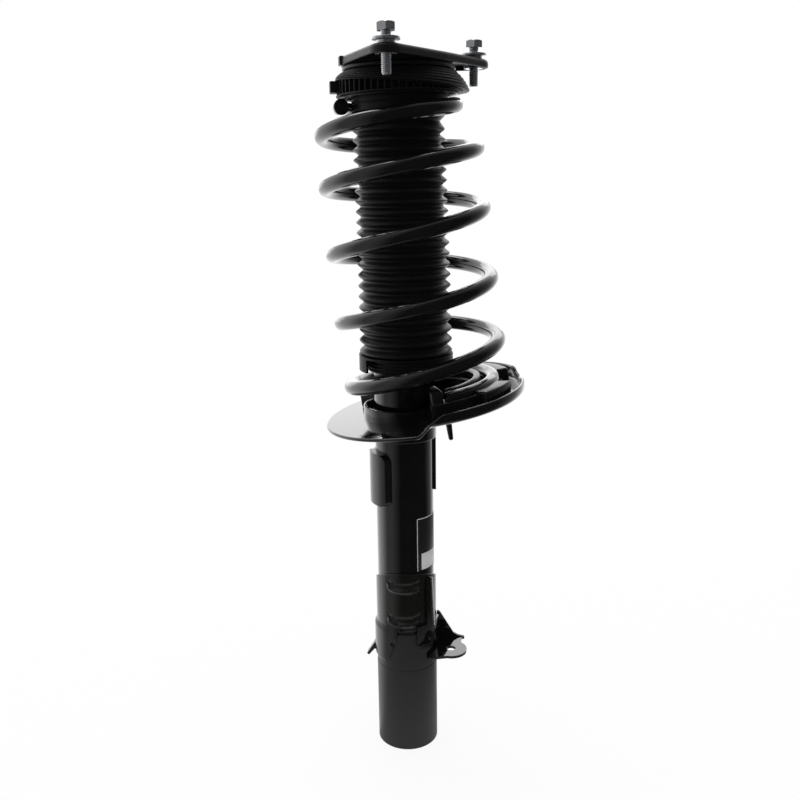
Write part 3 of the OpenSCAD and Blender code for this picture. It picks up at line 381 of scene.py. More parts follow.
# Each finish's two colours, its roughness and what else sets it apart
FINISHES = {
    "gloss_black_paint": dict(
        colour=rgb(0.003), worn_and_highlight=rgb(0.005), rough=0.08, rough_play=0.05, coat=0.8,
        coat_rough=0.04, grain_height=2e-6, wave=0.00008, wave_scale=24),
    "seat_paint": dict(
        colour=rgb(0.003), worn_and_highlight=rgb(0.005), rough=0.07, rough_play=0.05, coat=1.0,
        coat_rough=0.05, grain_height=2e-6, wave=0.0001, wave_scale=20, edge=0.0008),
    "spring_coating": dict(
        colour=rgb(0.0032), worn_and_highlight=rgb(0.005, (1, 1, 1.1)), rough=0.1, coat=0.8, coat_rough=0.06,
        grain=700, grain_height=2e-6, wave=0.00003, wave_scale=50),
    "satin_grey_paint": dict(
        colour=rgb(0.014, (0.96, 1, 0.98)), worn_and_highlight=rgb(0.017, (0.96, 1, 0.98)), rough=0.32,
        grain=1100, grain_height=6e-6),
    # The second, lighter colour also lies along rounded edges: part wear, part painted highlight
    "bracket_paint": dict(
        colour=rgb(0.004, (1.04, 1.04, 0.9)), worn_and_highlight=rgb(0.008, (1.05, 1.05, 0.88)), rough=0.16,
        rough_play=0.08, edge=0.0008, edge_wear_and_highlight=0.2, coat=0.5, grain_height=4e-6, wave=0.00008,
        wave_scale=60),
    "bare_steel": dict(
        colour=rgb(0.3), worn_and_highlight=rgb(0.22), rough=0.3, rough_play=0.1, metal=1.0,
        grain_height=4e-6),
    "sintered_metal": dict(
        colour=rgb(0.3, (1, 0.97, 0.9)), worn_and_highlight=rgb(0.24), rough=0.5, rough_play=0.1, metal=0.9),
    "bush_liner": dict(
        colour=rgb(0.18, (1, 0.8, 0.6)), worn_and_highlight=rgb(0.14), rough=0.5, rough_play=0.1, metal=0.5),
    "seal_rubber": dict(colour=rgb(0.01), worn_and_highlight=rgb(0.015), rough=0.5),
    "pad_rubber": dict(
        colour=rgb(0.0035), worn_and_highlight=rgb(0.006), rough=0.2, rough_play=0.1, coat=0.1,
        coat_rough=0.15, grain_height=5e-6, wave=0.00008, wave_scale=70, edge=0.0008),
    "black_plastic": dict(
        colour=rgb(0.004), worn_and_highlight=rgb(0.0062), rough=0.4, rough_play=0.08, edge=0.0005,
        grain=1500, grain_height=4e-6, spec=0.25),
    "boot_rubber": dict(
        colour=rgb(0.0036), worn_and_highlight=rgb(0.0055, (1, 1, 1.05)), rough=0.34, rough_play=0.08,
        grain=1600, grain_height=5e-6, spec=0.4),
    "bearing_steel": dict(
        colour=rgb(0.5), worn_and_highlight=rgb(0.42), rough=0.2, rough_play=0.05, metal=1.0),
    "cage_plastic": dict(colour=rgb(0.12, (1, 0.8, 0.5)), worn_and_highlight=rgb(0.1), rough=0.5),
    # The second, lighter colour also lies along rounded edges: part wear, part painted highlight
    "mount_paint": dict(
        colour=rgb(0.004), worn_and_highlight=rgb(0.006), rough=0.3, rough_play=0.08, edge=0.001,
        edge_wear_and_highlight=0.2, grain_height=4e-6, spec=0.32),
    "zinc_plating": dict(
        colour=rgb(0.6, (0.96, 0.99, 1.04)), worn_and_highlight=rgb(0.45, (0.97, 0.98, 1.0)), rough=0.11,
        rough_play=0.05, metal=0.92, edge=0.0003, patch=120, grain_height=4e-6),
    "bump_foam": dict(
        colour=rgb(0.55, (1, 0.86, 0.55)), worn_and_highlight=rgb(0.45, (1, 0.84, 0.5)), rough=0.7,
        rough_play=0.1, grain=1400, grain_height=0.0001),
    "rod_chrome": dict(
        colour=rgb(0.7), worn_and_highlight=rgb(0.66), rough=0.08, rough_play=0.03, metal=1.0),
    "stop_plastic": dict(colour=rgb(0.03), worn_and_highlight=rgb(0.04), rough=0.45),
    # Pale grey on the thin wall beside the band's gap is a painted highlight: it stands in for the
    # bright line there
    "pale_highlight_edge": dict(
        colour=rgb(0.5), worn_and_highlight=rgb(0.4), rough=0.25, rough_play=0.05, metal=0.1,
        grain_height=2e-6),
    "sticker_ground": dict(
        colour=rgb(0.009), worn_and_highlight=rgb(0.011), rough=0.32, rough_play=0.05, grain_height=2e-6),
    "sticker_pale": dict(
        colour=rgb(0.5), worn_and_highlight=rgb(0.46), rough=0.35, rough_play=0.05, grain_height=2e-6),
}


def finish_of(key):
    """The material of a finish, made when it is first asked for."""
    name = "finish_" + key
    return bpy.data.materials.get(name) or make_finish(name, **FINISHES[key])


# ---- what a user may change ----

class StrutSizes(bpy.types.PropertyGroup):
    """Sizes of the pieces that are finer than the solids."""

    wire_sides: IntProperty(name="Wire sides", default=28, min=12, max=48,
                            description="Flat faces round the spring wire")
    fold_steps: IntProperty(name="Steps in a fold", default=10, min=6, max=16,
                            description="Rings of faces in each fold of the boot")
    folds: IntProperty(name="Folds", default=22, min=12, max=26,
                       description="Folds of the dust boot")
    ribs: IntProperty(name="Ribs", default=58, min=24, max=72,
                      description="Ribs round the upper seat")
    thread_pitch: FloatProperty(name="Thread pitch", default=1.25 * MM, min=0.0005, max=0.003,
                                unit="LENGTH", subtype="DISTANCE",
                                description="Rise of the bolt thread in one turn")
    sticker_height: FloatProperty(name="Sticker height", default=49 * MM, min=0.02, max=0.09,
                                  unit="LENGTH", subtype="DISTANCE",
                                  description="Height of the plain sticker on the tube")


class StrutColours(bpy.types.PropertyGroup):
    """Colours that may be changed."""

    floor: FloatVectorProperty(name="Floor", subtype="COLOR", size=3, min=0, max=1,
                               default=(0.9, 0.9, 0.9), description="Colour of the floor")


# ---- the pieces ----

def coil_curve(a):
    """The wire's middle line: a right-hand helix about a leaning axis. Its radius eases from the
    drawn-in lower end to the body and back to the upper end, its height is the integral of an
    eased pitch, and each ring is tilted about Y."""
    wide_low, wide_high, mid_tilt, upper_pitch = 64.8, 63.0, 4.8, 0.672

    def run(x, p, q):
        s = np.clip((x - p) / (q - p), 0, None)
        return np.where(s >= 1, (q - p) / 2 + x - q, (q - p) * (s ** 3 - s ** 4 / 2))

    def climb(x):
        x = np.asarray(x, float)
        return (run(x, -60, 340) - (1 - upper_pitch) * run(x, 1020, 1460)
                - upper_pitch * run(x, 1740, 1860)
                + 24 * ease(x, 60, 300) * (1 - ease(x, 280, 440)))

    t = math.radians(SEAT_TILT)
    above_seat = (SEAT_STEP + PAD_T + WIRE_R + 0.1) / math.cos(t)
    z0 = SEAT_Z + (COIL_LEAN - SEAT_X) * math.tan(t) + above_seat
    z1 = UPPER_Z - (WIRE_R + 0.4) / math.cos(math.radians(TOP_TILT))
    z = z0 + (z1 - z0) * climb(a) / climb(COIL_END)
    body = wide_low + (wide_high - wide_low) * ease(a, 300, 1500)
    low = COIL_LOW_R + (body - COIL_LOW_R) * ease(a, -20, 230)
    r = low + (COIL_TOP_R - low) * ease(a, 1590, 1810)
    lean_top, lean_low = UPPER_Z - 37, SEAT_Z + 22
    lean = COIL_LEAN * np.clip((lean_top - z) / (lean_top - lean_low), 0, 1) ** 1.2
    lean = lean - 1.5 * ease(z, 490, 560)
    tilt = turn(SEAT_TILT + (mid_tilt - SEAT_TILT) * ease(a, 150, 600)
                + (TOP_TILT - mid_tilt) * ease(a, 1500, 1800))
    c, s = np.cos(turn(a)), np.sin(turn(a))
    return np.stack([lean + r * np.cos(tilt) * c, r * s, z + r * np.sin(tilt) * c], -1)


def spring_skin(sides):
    """Round wire on the coil curve; each end is cut square with a small rounded edge, so the
    last rings' radius is R - b + sqrt(b squared - (b - s) squared) at s from the cut."""
    bevel = 0.9
    s = bevel * (1 - np.cos(np.linspace(0, math.pi / 2, 6)))
    shrink = WIRE_R - bevel + np.sqrt(bevel ** 2 - (bevel - s) ** 2)
    low = COIL_START + np.degrees(s / COIL_LOW_R)
    high = COIL_END - np.degrees(s / COIL_TOP_R)[::-1]
    a = np.concatenate([low, np.arange(COIL_START + 3, COIL_END - 2, 3.0), high])
    radius = np.concatenate([shrink, np.full(len(a) - 2 * len(s), WIRE_R), shrink[::-1]])
    middle = coil_curve(a)
    along = unit(coil_curve(a + 0.5) - coil_curve(a - 0.5))
    side = unit(np.cross(along, [0, 0, 1]))
    up = np.cross(side, along)
    k = turn(np.linspace(0, 360, sides, endpoint=False))[None, :, None]
    ring = side[:, None] * np.cos(k) + up[:, None] * np.sin(k)
    return shell(middle[:, None] + radius[:, None, None] * ring)


def boot_skin(folds, steps):
    """Bellows: the radius swings between crest and valley, part as a triangle and part as a
    cosine of each fold, and tapers upwards. Crest n of N lies at t (1 + 0.1 (1 - t)) of the
    height with t = n / (N - 1), and the middle line bends sideways as 1 - (1 - s) to the 1.8."""
    length = BOOT_TOP - BOOT_LOW
    n = np.arange((folds - 1) * steps + 1) / steps
    t = n / (folds - 1)
    z = -length + 1.7 + (length - 4.4) * t * (1 + 0.1 * (1 - t))
    wave = np.abs(2 * (n % 1) - 1)
    wave = 0.4 * wave + 0.6 * (0.5 - 0.5 * np.cos(math.pi * wave))
    folded = np.stack([39.3 - 1.9 * t - 4.2 * (1 - wave), z], -1)
    foot = np.array([[34.0, -length], [37.8, -length + 0.1], [38.9, -length + 0.8]])
    top = np.array([[36.6, -1.0], [33.9, 2.6], [33.6, 3.2], [33.9, 3.8], [37.6, 7.6], [38.0, 8.4],
                    [37.4, 9.4], [35.9, 10.2], [34.6, 10.4], [32.6, 10.2], [32.5, 3.2]])
    back = np.concatenate([(folded - [1.3, 0])[::-1],
                           [[33.0, -length + 1.4], [32.9, -length]]])
    points, faces = revolve(np.concatenate([foot, folded, top, back]), 112)
    share = np.clip(-points[:, 2] / length, 0, 1)
    points[:, 0] += -1.25 + 3.9 * (1 - (1 - share) ** 1.8)
    points[:, 2] += BOOT_TOP
    return points, faces


def collar_skin():
    """The plastic cup under the boot: a ribbed inner wall, a deck with a low neck above it, and
    an outer ribbed wall in three stretches, with open windows between them."""
    low, deck, inner, outer = COLLAR_LOW, COLLAR_TOP - 2, 32.8, 40.0
    step = (deck - low) / 4
    i = np.arange(4)[:, None]
    ribs = np.stack([np.tile([0.0, 0.0, 1.2, 1.2], 4),
                     (low + step * (i + np.array([[0.05, 0.55, 0.7, 0.95]]))).ravel()], -1)
    wall = np.concatenate([[[27.5, low], [inner, low]], [inner, 0] + ribs * [-1, 1],
                           [[inner - 1.2, deck + 0.5], [27.5, deck + 0.5]]])
    centre = (COLLAR_X, 0.0)
    parts = [revolve(rounded(wall, 0.3, 3), 96, centre=centre)]
    top = [[28.6, deck], [outer, deck], [outer, COLLAR_TOP], [32.8, COLLAR_TOP],
           [32.6, COLLAR_TOP + 2.8], [28.6, COLLAR_TOP + 2.8]]
    parts.append(revolve(rounded(top, 0.5, 4), 112, centre=centre))
    ribs[:, 0] *= 0.6
    outer_wall = np.concatenate([[outer, 0] + ribs * [-1, 1],
                                 [[outer - 0.4, deck + 0.8], [outer - 2.2, deck + 0.8],
                                  [outer - 2.2, low + 0.2]]])
    for a0, a1 in ((62, 123), (152, 213), (242, 393)):
        parts.append(revolve(rounded(outer_wall, 0.25, 3), 40, a0, a1, centre))
    return joined(*parts)


def clear_of_hub(points):
    """Points of the seat's frame pushed out to the clear radius from the hub's axis."""
    clear = 36.2
    away = points[:, :2] + [SEAT_X, 0]
    far = np.linalg.norm(away, axis=1)
    push = np.maximum(clear / np.maximum(far, 1e-6), 1)[:, None]
    return np.concatenate([away * push - [SEAT_X, 0], points[:, 2:]], -1)


def pad_skin():
    """The rubber pad under the end coil: a ring with a round groove for the wire, whose outer
    wall rises round the wire towards -Y, a tall ring inside the wire, a stop block for its end,
    two lobes that hold it from outside, a foot on the low half and a peg."""
    base = SEAT_STEP + 0.05
    centre = (1.0, 0.0)
    floor = base + PAD_T
    groove = (COIL_LOW_R, floor + 7.0, 7.05)
    inner = [[42, base], [42, base + 6.9], [42.6, base + 7.5], [43.6, base + 7.5]]
    tall = np.concatenate([
        inner, arc(*groove, 212, 356, 14),
        [[66.6, base + 10.6], [66.8, base + 10.7], [67.9, base + 10.7], [68.5, base + 10.1],
         [68.7, base]]])
    flat = arc(*groove, 212, 328, 14)
    flat[7:, 1] = floor
    low = np.concatenate([
        inner, flat,
        [[65.0, floor + 0.4], [65.2, base + 7.4], [67.4, base + 7.5], [68.3, base + 6.8],
         [68.5, base]]])
    a = np.linspace(-86.5, 122, 140)
    share = ease(a, -18, -8)[:, None, None]
    loop = tall[None] * (1 - share) + low[None] * share
    in_groove = (loop[..., 0] > 43.7) & (loop[..., 0] < 64.1)
    radius = loop[..., 0] + 2.4 * np.cos(turn(a))[:, None] * in_groove
    parts = [shell(polar(radius, a[:, None], loop[..., 1], centre))]
    for r0, r1, z0, z1, a0, a1, soft in (
            (43.5, 49.6, base + 1, floor + 12.3, -69, 118, 2.2),
            (42.5, 66.5, base + 1, floor + 16.5, -86, -77.4, 1.5),
            (64.6, 76.0, base + 0.5, floor + 10, 8, 44, 2.4),
            (64.6, 78.5, base + 0.5, floor + 9, -52, -24, 1.8),
            (52.0, 68.2, 0.05, base + 7.2, 103.5, 149, 1.4)):
        parts.append(arc_block(r0, r1, z0, z1, a0, a1, soft, 30, centre))
    tip = turn(np.linspace(0, 90, 6))
    end = np.stack([1.9 * np.sin(tip), -SEAT_T - 9.9 - 1.7 * np.cos(tip)], -1)
    end[0, 0] = 0.02
    peg = np.concatenate([end, [[2.4, -SEAT_T], [2.5, SEAT_STEP + 1], [0.02, SEAT_STEP + 1]]])
    points, faces = joined(*parts)
    pad = joined((clear_of_hub(points), faces), revolve(peg, 24, centre=(16.6, -61)))
    return moved(pad, in_seat_frame)


def step_height(x):
    """Height of the pressed seat's top: 0 on the low half, the step on the high half, eased."""
    return SEAT_STEP * ease(x, -9.5, 2.5)


def seat_skin():
    """The pressed seat: sheet between the hub and an outer circle, with the step across it. On
    the wide side its edge turns up into a rim, blended in by angle, with a higher lip and a
    low place beside it."""
    cols = 240
    angle = np.linspace(-180, 180, cols, endpoint=False)
    way = polar(1.0, angle, 0.0)[:, :2]
    hub, flat_r, wall = 33.2, SEAT_R - 6, SEAT_R - 3
    inner = np.array([-SEAT_X, 0]) + hub * way
    outer = flat_r * way
    s = np.linspace(0, 1, 26)[:, None, None]
    floor = inner[None] * (1 - s) + outer[None] * s
    rim = ease(np.abs(angle), 92, 80)
    lip = ease(angle, 11, 17) * ease(angle, 61, 55)
    notch = ease(angle, -3, 0) * ease(angle, 11, 8)
    high = SEAT_RIM + 5 * lip - (SEAT_RIM - 4.4) * notch
    fillet = arc(flat_r, 3, 3, -90, 0)
    lip_edge = arc(wall + 1.5, 0, 1.5, 180, 0, 7)
    back = arc(flat_r, 3, 6, 0, -90)
    still = np.zeros((1, cols, 2))
    rise = (high - 1.5)[None, :, None] * np.array([0, 1])
    in_top, out_top = [wall, 0.0] + rise, [SEAT_R, 0.0] + rise
    turned = np.concatenate([
        fillet[:, None] + still, (in_top + [wall, 3.0]) / 2, in_top, lip_edge[:, None] + rise,
        out_top, (out_top + [SEAT_R, 3.0]) / 2, back[:, None] + still])
    n = turned.shape[0]
    plain = np.concatenate([
        np.linspace([flat_r, 0], [SEAT_R - 1.5, 0], 8), arc(SEAT_R - 1.5, -1.5, 1.5, 90, -90, 7),
        np.linspace([SEAT_R - 1.5, -SEAT_T], [flat_r, -SEAT_T], n - 15)])
    edge = plain[:, None] * (1 - rim[None, :, None]) + turned * rim[None, :, None]
    flat = np.zeros(floor.shape[:2])
    xy = np.concatenate([floor, edge[..., :1] * way[None], floor[::-1]])
    z = step_height(xy[..., 0]) + np.concatenate([flat, edge[..., 1], flat - SEAT_T])
    sheet = moved(shell(np.concatenate([xy, z[..., None]], -1), True), in_seat_frame)
    return joined(sheet, hub_skin())


def hub_skin():
    """The hub round the tube: a narrow neck below, a wider cup above, open at the top, whose
    edge climbs with the floor on the high side."""
    z0, z1 = SEAT_Z - 25, SEAT_Z + 4
    bore = TUBE_R + 0.05
    corners = [[bore, z0], [28.3, z0], [28.3, z0 + 11], [34.5, z0 + 16.5], [34.5, z1],
               [31.9, z1], [31.9, z1 - 9], [bore, z1 - 9]]
    loop = rounded(corners, 1.8, 6)
    points, faces = revolve(loop, 128)
    x, z = points[:, 0], points[:, 2]
    t = math.radians(SEAT_TILT)
    floor = SEAT_Z + (x - SEAT_X) * math.tan(t) + SEAT_STEP / math.cos(t) - 0.6
    lift = np.maximum(floor - z1, 0) * ease(x, 6, 18)
    points[:, 2] = z + lift * ease(z, z1 - 7, z1 - 2)
    return points, faces


def band_skin():
    """The sheet band round the tube. Its upper edge slopes down towards the back, its left part
    reaches down over the sleeve with a slanting right edge and a small dimple, and two pressed
    beads with turned-up ends run across its front, each a bulge with a hollow above it."""
    bore, sheet = TUBE_R + 0.07, 1.8

    def low(a):
        slant = np.clip((a - 226) / 27, 0, 1)
        return BAND_Z - 31 + 31 * slant ** 1.7

    def high(a):
        return BAND_Z + BAND_H - 0.445 * (27 * np.sin(turn(a)) + 27.15)

    def inner(a, z):
        return bore + 1.95 * ease(z, BAND_Z + 3, BAND_Z - 1.5) * ease(a, 266, 256)

    def outer(a, z):
        bulge = 0
        for height in (7.0, 39.5):
            u = (a - 264) / 31
            up = z - BAND_Z - height - 3.4 * np.abs(u) ** 4
            bulge = bulge + 2.4 * np.exp(-(up / 1.6) ** 2) - 0.9 * np.exp(-((up - 4.3) / 1.9) ** 2)
        hole = np.hypot((a - 245) * 0.5, z - 107.5)
        window = ease(a, 230, 237) * ease(a, 298, 291)
        return inner(a, z) + sheet + bulge * window - 1.5 * ease(hole, 3.2, 2.3)

    return bent_sheet(158, 386, low, high, inner, outer, 0.6, 260, 90)


def flange_skin(a0, width, reach):
    """One thin wall that stands out from the band beside its gap and leans with height."""
    root = TUBE_R + 1.5
    wall = arc_block(root, root + reach, BAND_Z + 1, BAND_Z + 49, a0, a0 + width, 0.3, 4)
    return moved(wall, lambda points: twisted(points, -0.12, BAND_Z))


def spun(profile, cols=128):
    """A skin from points (radius, height, tilt in degrees, centre x), each turned about the
    upright axis through its centre and then lowered by x times the tangent of its tilt."""
    a = turn(np.linspace(0, 360, cols, endpoint=False))
    r, z, tilt, centre = (column[:, None] for column in np.asarray(profile, float).T)
    x = centre + r * np.cos(a)
    return shell(np.stack([x, r * np.sin(a), z - x * np.tan(turn(tilt))], -1), True)


def upper_seat_skin(count):
    """The ribbed ring between two tilted flanges with its side tab, and the stepped drum below.
    The flanges draw together towards +X, and ribs stop where less than 1.2 mm is left."""
    low, high, bore = UPPER_Z + 1.25, FLANGE_Z - 1, 33.6
    flat = [[r, low + z, -TOP_TILT, 0] for r, z in (
        (bore, 0), (50.0, 0), (50.4, 0.35), (50.4, 0.95), (50.0, 1.25), (bore, 1.25))]
    cover = [[r, high + z, COVER_TILT, 0] for r, z in (
        (bore, 0), (50.6, 0), (51.0, 0.3), (51.0, 0.7), (50.7, 0.98), (bore, 0.98))]
    core = [[bore, low + 0.1, -TOP_TILT, 0], [45.2, low + 0.1, -TOP_TILT, 0],
            [45.2, high + 0.1, COVER_TILT, 0], [bore, high + 0.1, COVER_TILT, 0]]
    parts = [spun(flat), spun(cover), spun(core)]
    a = turn(np.arange(count) * 360 / count + 3)[:, None]
    r, t = np.array([44.9, 49.7, 49.7, 44.9]), np.array([-0.45, -0.45, 0.45, 0.45])
    x, y = r * np.cos(a) - t * np.sin(a), r * np.sin(a) + t * np.cos(a)
    z0 = low + 1.0 + x * math.tan(turn(TOP_TILT))
    z1 = high + 0.2 - x * math.tan(turn(COVER_TILT))
    for xx, yy, foot, top in zip(x, y, z0, z1):
        if (top - foot).min() > 1.2:
            parts.append(shell(np.stack([np.stack([xx, yy, z], -1) for z in (foot, top)])))
    drum = rounded([[29.4, BOOT_TOP], [31.6, BOOT_TOP], [31.6, 562.6], [38.0, 562.8], [38.0, 568.4],
                    [37.6, 568.8], [37.6, 569.6], [38.3, 570.0], [38.3, UPPER_Z + 1.2],
                    [bore, UPPER_Z + 1.6], [bore, 564.0], [29.4, 563.0]], 0.5, 3)
    parts.append(revolve(drum, 112))
    parts.append(arc_block(46, 55.4, FLANGE_Z - 5.2, FLANGE_Z + 3.6, 178.2, 193.6, 0.8, 8))
    return joined(*parts)


def housing_skin():
    """The bearing housing: six rounded ridges whose tilt and offset fade out upwards while the
    radius shrinks as 43.8 + 8.6 (1 - t to the 1.7), and a groove for the bearing on top."""
    foot, groove, bore = FLANGE_Z + 0.03, HOUSING_Z - 4.1, 33.6
    t = np.linspace(0, 1, 61)
    ridge = 0.95 * np.abs(np.sin(6 * math.pi * t)) ** 0.8
    wall = np.stack([43.8 + 8.6 * (1 - t ** 1.7) + ridge, foot + (HOUSING_Z - FLANGE_Z) * t,
                     COVER_TILT * (1 - t), 2.8 * (1 - t)], -1)
    top = [[r, z, 0, 0] for r, z in (
        (43.5, HOUSING_Z), (43.5, groove), (36.5, groove), (36.5, HOUSING_Z), (bore, HOUSING_Z))]
    return spun(np.concatenate([wall, top, [[bore, foot, COVER_TILT, 0]]]), 144)


def top_pad_skin():
    """The thin rubber ring above the coil, tilted with the seat that it lies on."""
    ring = revolve(rounded([[36.5, 0.03], [47, 0.03], [47, 1.17], [36.5, 1.17]], 0.4), 96)
    return moved(ring, lambda points: tilted(points, TOP_TILT, 0, UPPER_Z))


def buffer_skin():
    """The foam buffer on the rod: three rounded swellings that widen upwards."""
    z = MOUNT_Z - 27.5
    loop = [[10.5, -76], [15.5, -76], [19.5, -66], [16.5, -59], [22.5, -48], [18.5, -38],
            [25.4, -26], [20.5, -16], [25.4, -8], [25.4, -0.1], [10.5, -0.1]]
    return revolve(rounded(loop, 4, 7) + [0, z], 72)


def mount_rubber_skin():
    """The rubber ring between the mount's sleeve and its cup, hollowed between the two."""
    loop = [[13.1, 586.1], [21, 586.1], [28, 590.3], [32.9, 593.9], [32.9, 597.5], [28, 593.4],
            [23, 592.2], [18, 592.4], [13.1, 593.4]]
    return revolve(rounded(loop, 1.5, 5), 96)


def plate_outline(cols):
    """Radius of the mount plate by angle: the largest of the round middle, each lobe joined to
    it by tangents, and the straight edge between the first two lobes."""
    mid, corner = 46.0, 12.0
    a = np.linspace(-180, 180, cols, endpoint=False)
    best = np.full(cols, mid)
    lean = math.degrees(math.acos((mid - corner) / BOLT_RING_R))
    meet = math.degrees(math.atan2(corner * math.sin(turn(lean)),
                                   BOLT_RING_R + corner * math.cos(turn(lean))))
    for b in BOLT_ANGLES:
        d = np.abs((a - b + 180) % 360 - 180)
        tip = BOLT_RING_R * np.cos(turn(d)) + np.sqrt(np.clip(
            corner ** 2 - (BOLT_RING_R * np.sin(turn(d))) ** 2, 0, None))
        side = mid / np.cos(turn(np.clip(lean - d, -60, 60)))
        best = np.maximum(best, np.where(d < meet, tip, np.where(d < lean, side, 0)))
    half = (BOLT_ANGLES[1] - BOLT_ANGLES[0]) / 2
    d = np.abs((a - (BOLT_ANGLES[0] + BOLT_ANGLES[1]) / 2 + 180) % 360 - 180)
    dist = BOLT_RING_R * math.cos(turn(half)) + corner
    reach = math.degrees(math.atan2(BOLT_RING_R * math.sin(turn(half)), dist))
    best = np.maximum(best, np.where(d < reach, dist / np.cos(turn(np.minimum(d, 80))), 0))
    soft = np.array([1, 2, 3, 2, 1]) / 9
    wrapped = np.concatenate([best[-2:], best, best[:2]])
    return a, np.convolve(wrapped, soft, "valid")


def plate_skin():
    """The mount plate: the outline's edge rolls down over a rounded shoulder into a rim, and
    comes back inside it under the sheet to the middle hole."""
    a, r = plate_outline(360)
    way = polar(1.0, a, 0.0)[:, :2]
    line = way * r[:, None]
    along = unit(np.roll(line, -1, 0) - np.roll(line, 1, 0))
    out = np.stack([along[:, 1], -along[:, 0]], -1)
    profile = np.concatenate([
        arc(-3.4, -3.4, 3.4, 90, 0), arc(-1.5, 1.5 - PLATE_RIM, 1.5, 0, -180),
        arc(-PLATE_T - 1.2, -PLATE_T - 1.2, 1.2, 0, 90)])
    edge = line[None] + profile[:, None, :1] * out[None]
    hole = way * 24
    s = np.linspace(0, 1, 8)[:, None, None]
    top = hole[None] * (1 - s) + edge[:1] * s
    under = edge[-1:] * (1 - s) + hole[None] * s
    xy = np.concatenate([top[:-1], edge, under[1:]])
    z = np.concatenate([np.zeros(7), profile[:, 1], np.full(7, -PLATE_T)])
    z = np.broadcast_to(z[:, None], xy.shape[:2]) + MOUNT_Z
    plate = shell(np.concatenate([xy, z[..., None]], -1), True)
    ear = arc_block(43, 47.8, MOUNT_Z - PLATE_RIM, MOUNT_Z - 0.2, 183.8, 196.2, 0.8, 8)
    return joined(plate, ear)


def bolt_place(angle):
    """Middle of the tower bolt at that angle on the plate."""
    return BOLT_RING_R * math.cos(turn(angle)), BOLT_RING_R * math.sin(turn(angle))


def hex_radius(a, across):
    """Radius of a hexagon of that width across flats, by angle in degrees."""
    return across / 2 / np.cos(turn((a + 30) % 60 - 30))


def bolt_skin(pitch, stands):
    """Tower bolts: a hexagon head cut by a cone above and below, on a threaded shank whose
    radius is a triangle wave of height over pitch minus angle over a full turn."""
    parts = []
    head, length = 5.7, 30.0
    a = np.linspace(0, 360, 48, endpoint=False)
    for b, out in zip(BOLT_ANGLES, stands):
        z = np.array([0.0, 0.35, 1.0, 2.8, 4.2, 4.9, 5.3, head])[:, None]
        cone = np.minimum(6.5 + (head - z) * 1.9, 7.1 + z * 2.2)
        r = np.minimum(hex_radius(a, 13.0)[None], cone)
        r = np.concatenate([r, r[-1:] * 0.86, r[-1:] * 0.8])
        z = np.concatenate([z, [[head]], [[head - 0.25]]])
        parts.append(shell(polar(r, a, z + MOUNT_Z + out, bolt_place(b))))
        z = np.arange(-length, 0.3, pitch / 6)[:, None]
        tooth = 1 - np.abs(2 * ((z / pitch - a[::2] / 360) % 1) - 1)
        fade = np.clip((z + length) / 1.2, 0, 1)
        r = 4.0 - 0.45 * (1 - tooth) * ease(z, -1.0, -2.5) - 0.9 * (1 - fade)
        parts.append(shell(polar(r, a[::2], z + MOUNT_Z + out, bolt_place(b))))
    return joined(*parts)


def washer_skin():
    """Each washer: a wide disc on a narrower boss, all edges rounded."""
    loop = rounded([[4.05, 0.05], [7, 0.05], [7, 2.5], [10.5, 2.7], [10.5, 4.7], [4.05, 4.7]], 0.5)
    loop[:, 1] += MOUNT_Z
    return joined(*[revolve(loop, 48, centre=bolt_place(b)) for b in BOLT_ANGLES])


def sticker_skins(height):
    """Thin sheets bent round the tube: the dark ground, a narrow pale border along its left
    and upper edge, and a pale block at its foot."""
    z0, r0 = BAND_Z + BAND_H + 0.8, TUBE_R + 0.03
    z1 = z0 + height / MM
    ground = arc_block(r0, r0 + 0.16, z0, z1, -67, -8, 0.07, 40)
    border = joined(arc_block(r0 + 0.04, r0 + 0.19, z0, z1, -67, -65.4, 0.07, 4),
                    arc_block(r0 + 0.04, r0 + 0.19, z1 - 0.8, z1, -65.4, -8, 0.07, 30))
    block = arc_block(r0 + 0.05, r0 + 0.2, z0 + 0.6, z0 + 16, -57.5, -10, 0.07, 30)
    return ground, border, block


class STRUT_OT_spring(bpy.types.Operator):
    """Builds the coil spring"""

    bl_idname = "strut.spring"
    bl_label = "Coil spring"

    def execute(self, context):
        skin = spring_skin(context.scene.strut_sizes.wire_sides)
        spring = piece("spring", skin, "strut_body", "spring_coating", ["coil_spring"], 50)
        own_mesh(spring)
        return {"FINISHED"}


class STRUT_OT_boot(bpy.types.Operator):
    """Builds the folded dust boot"""

    bl_idname = "strut.boot"
    bl_label = "Dust boot"

    def execute(self, context):
        sizes = context.scene.strut_sizes
        boot = piece("boot", boot_skin(sizes.folds, sizes.fold_steps), "strut_body",
                     "boot_rubber", ["dust_boot"], 70)
        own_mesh(boot)
        piece("collar", collar_skin(), "strut_body", "black_plastic", ["boot_collar"], 30)
        return {"FINISHED"}


class STRUT_OT_lower_seat(bpy.types.Operator):
    """Builds the pressed lower seat with its hub and the rubber pad on it"""

    bl_idname = "strut.lower_seat"
    bl_label = "Lower spring seat"

    def execute(self, context):
        piece("seat", seat_skin(), "strut_body", "gloss_black_paint", ["lower_spring_seat"], 42,
              "seat_paint")
        piece("seat_pad", pad_skin(), "strut_body", "pad_rubber", ["seat_insulator"], 42)
        return {"FINISHED"}


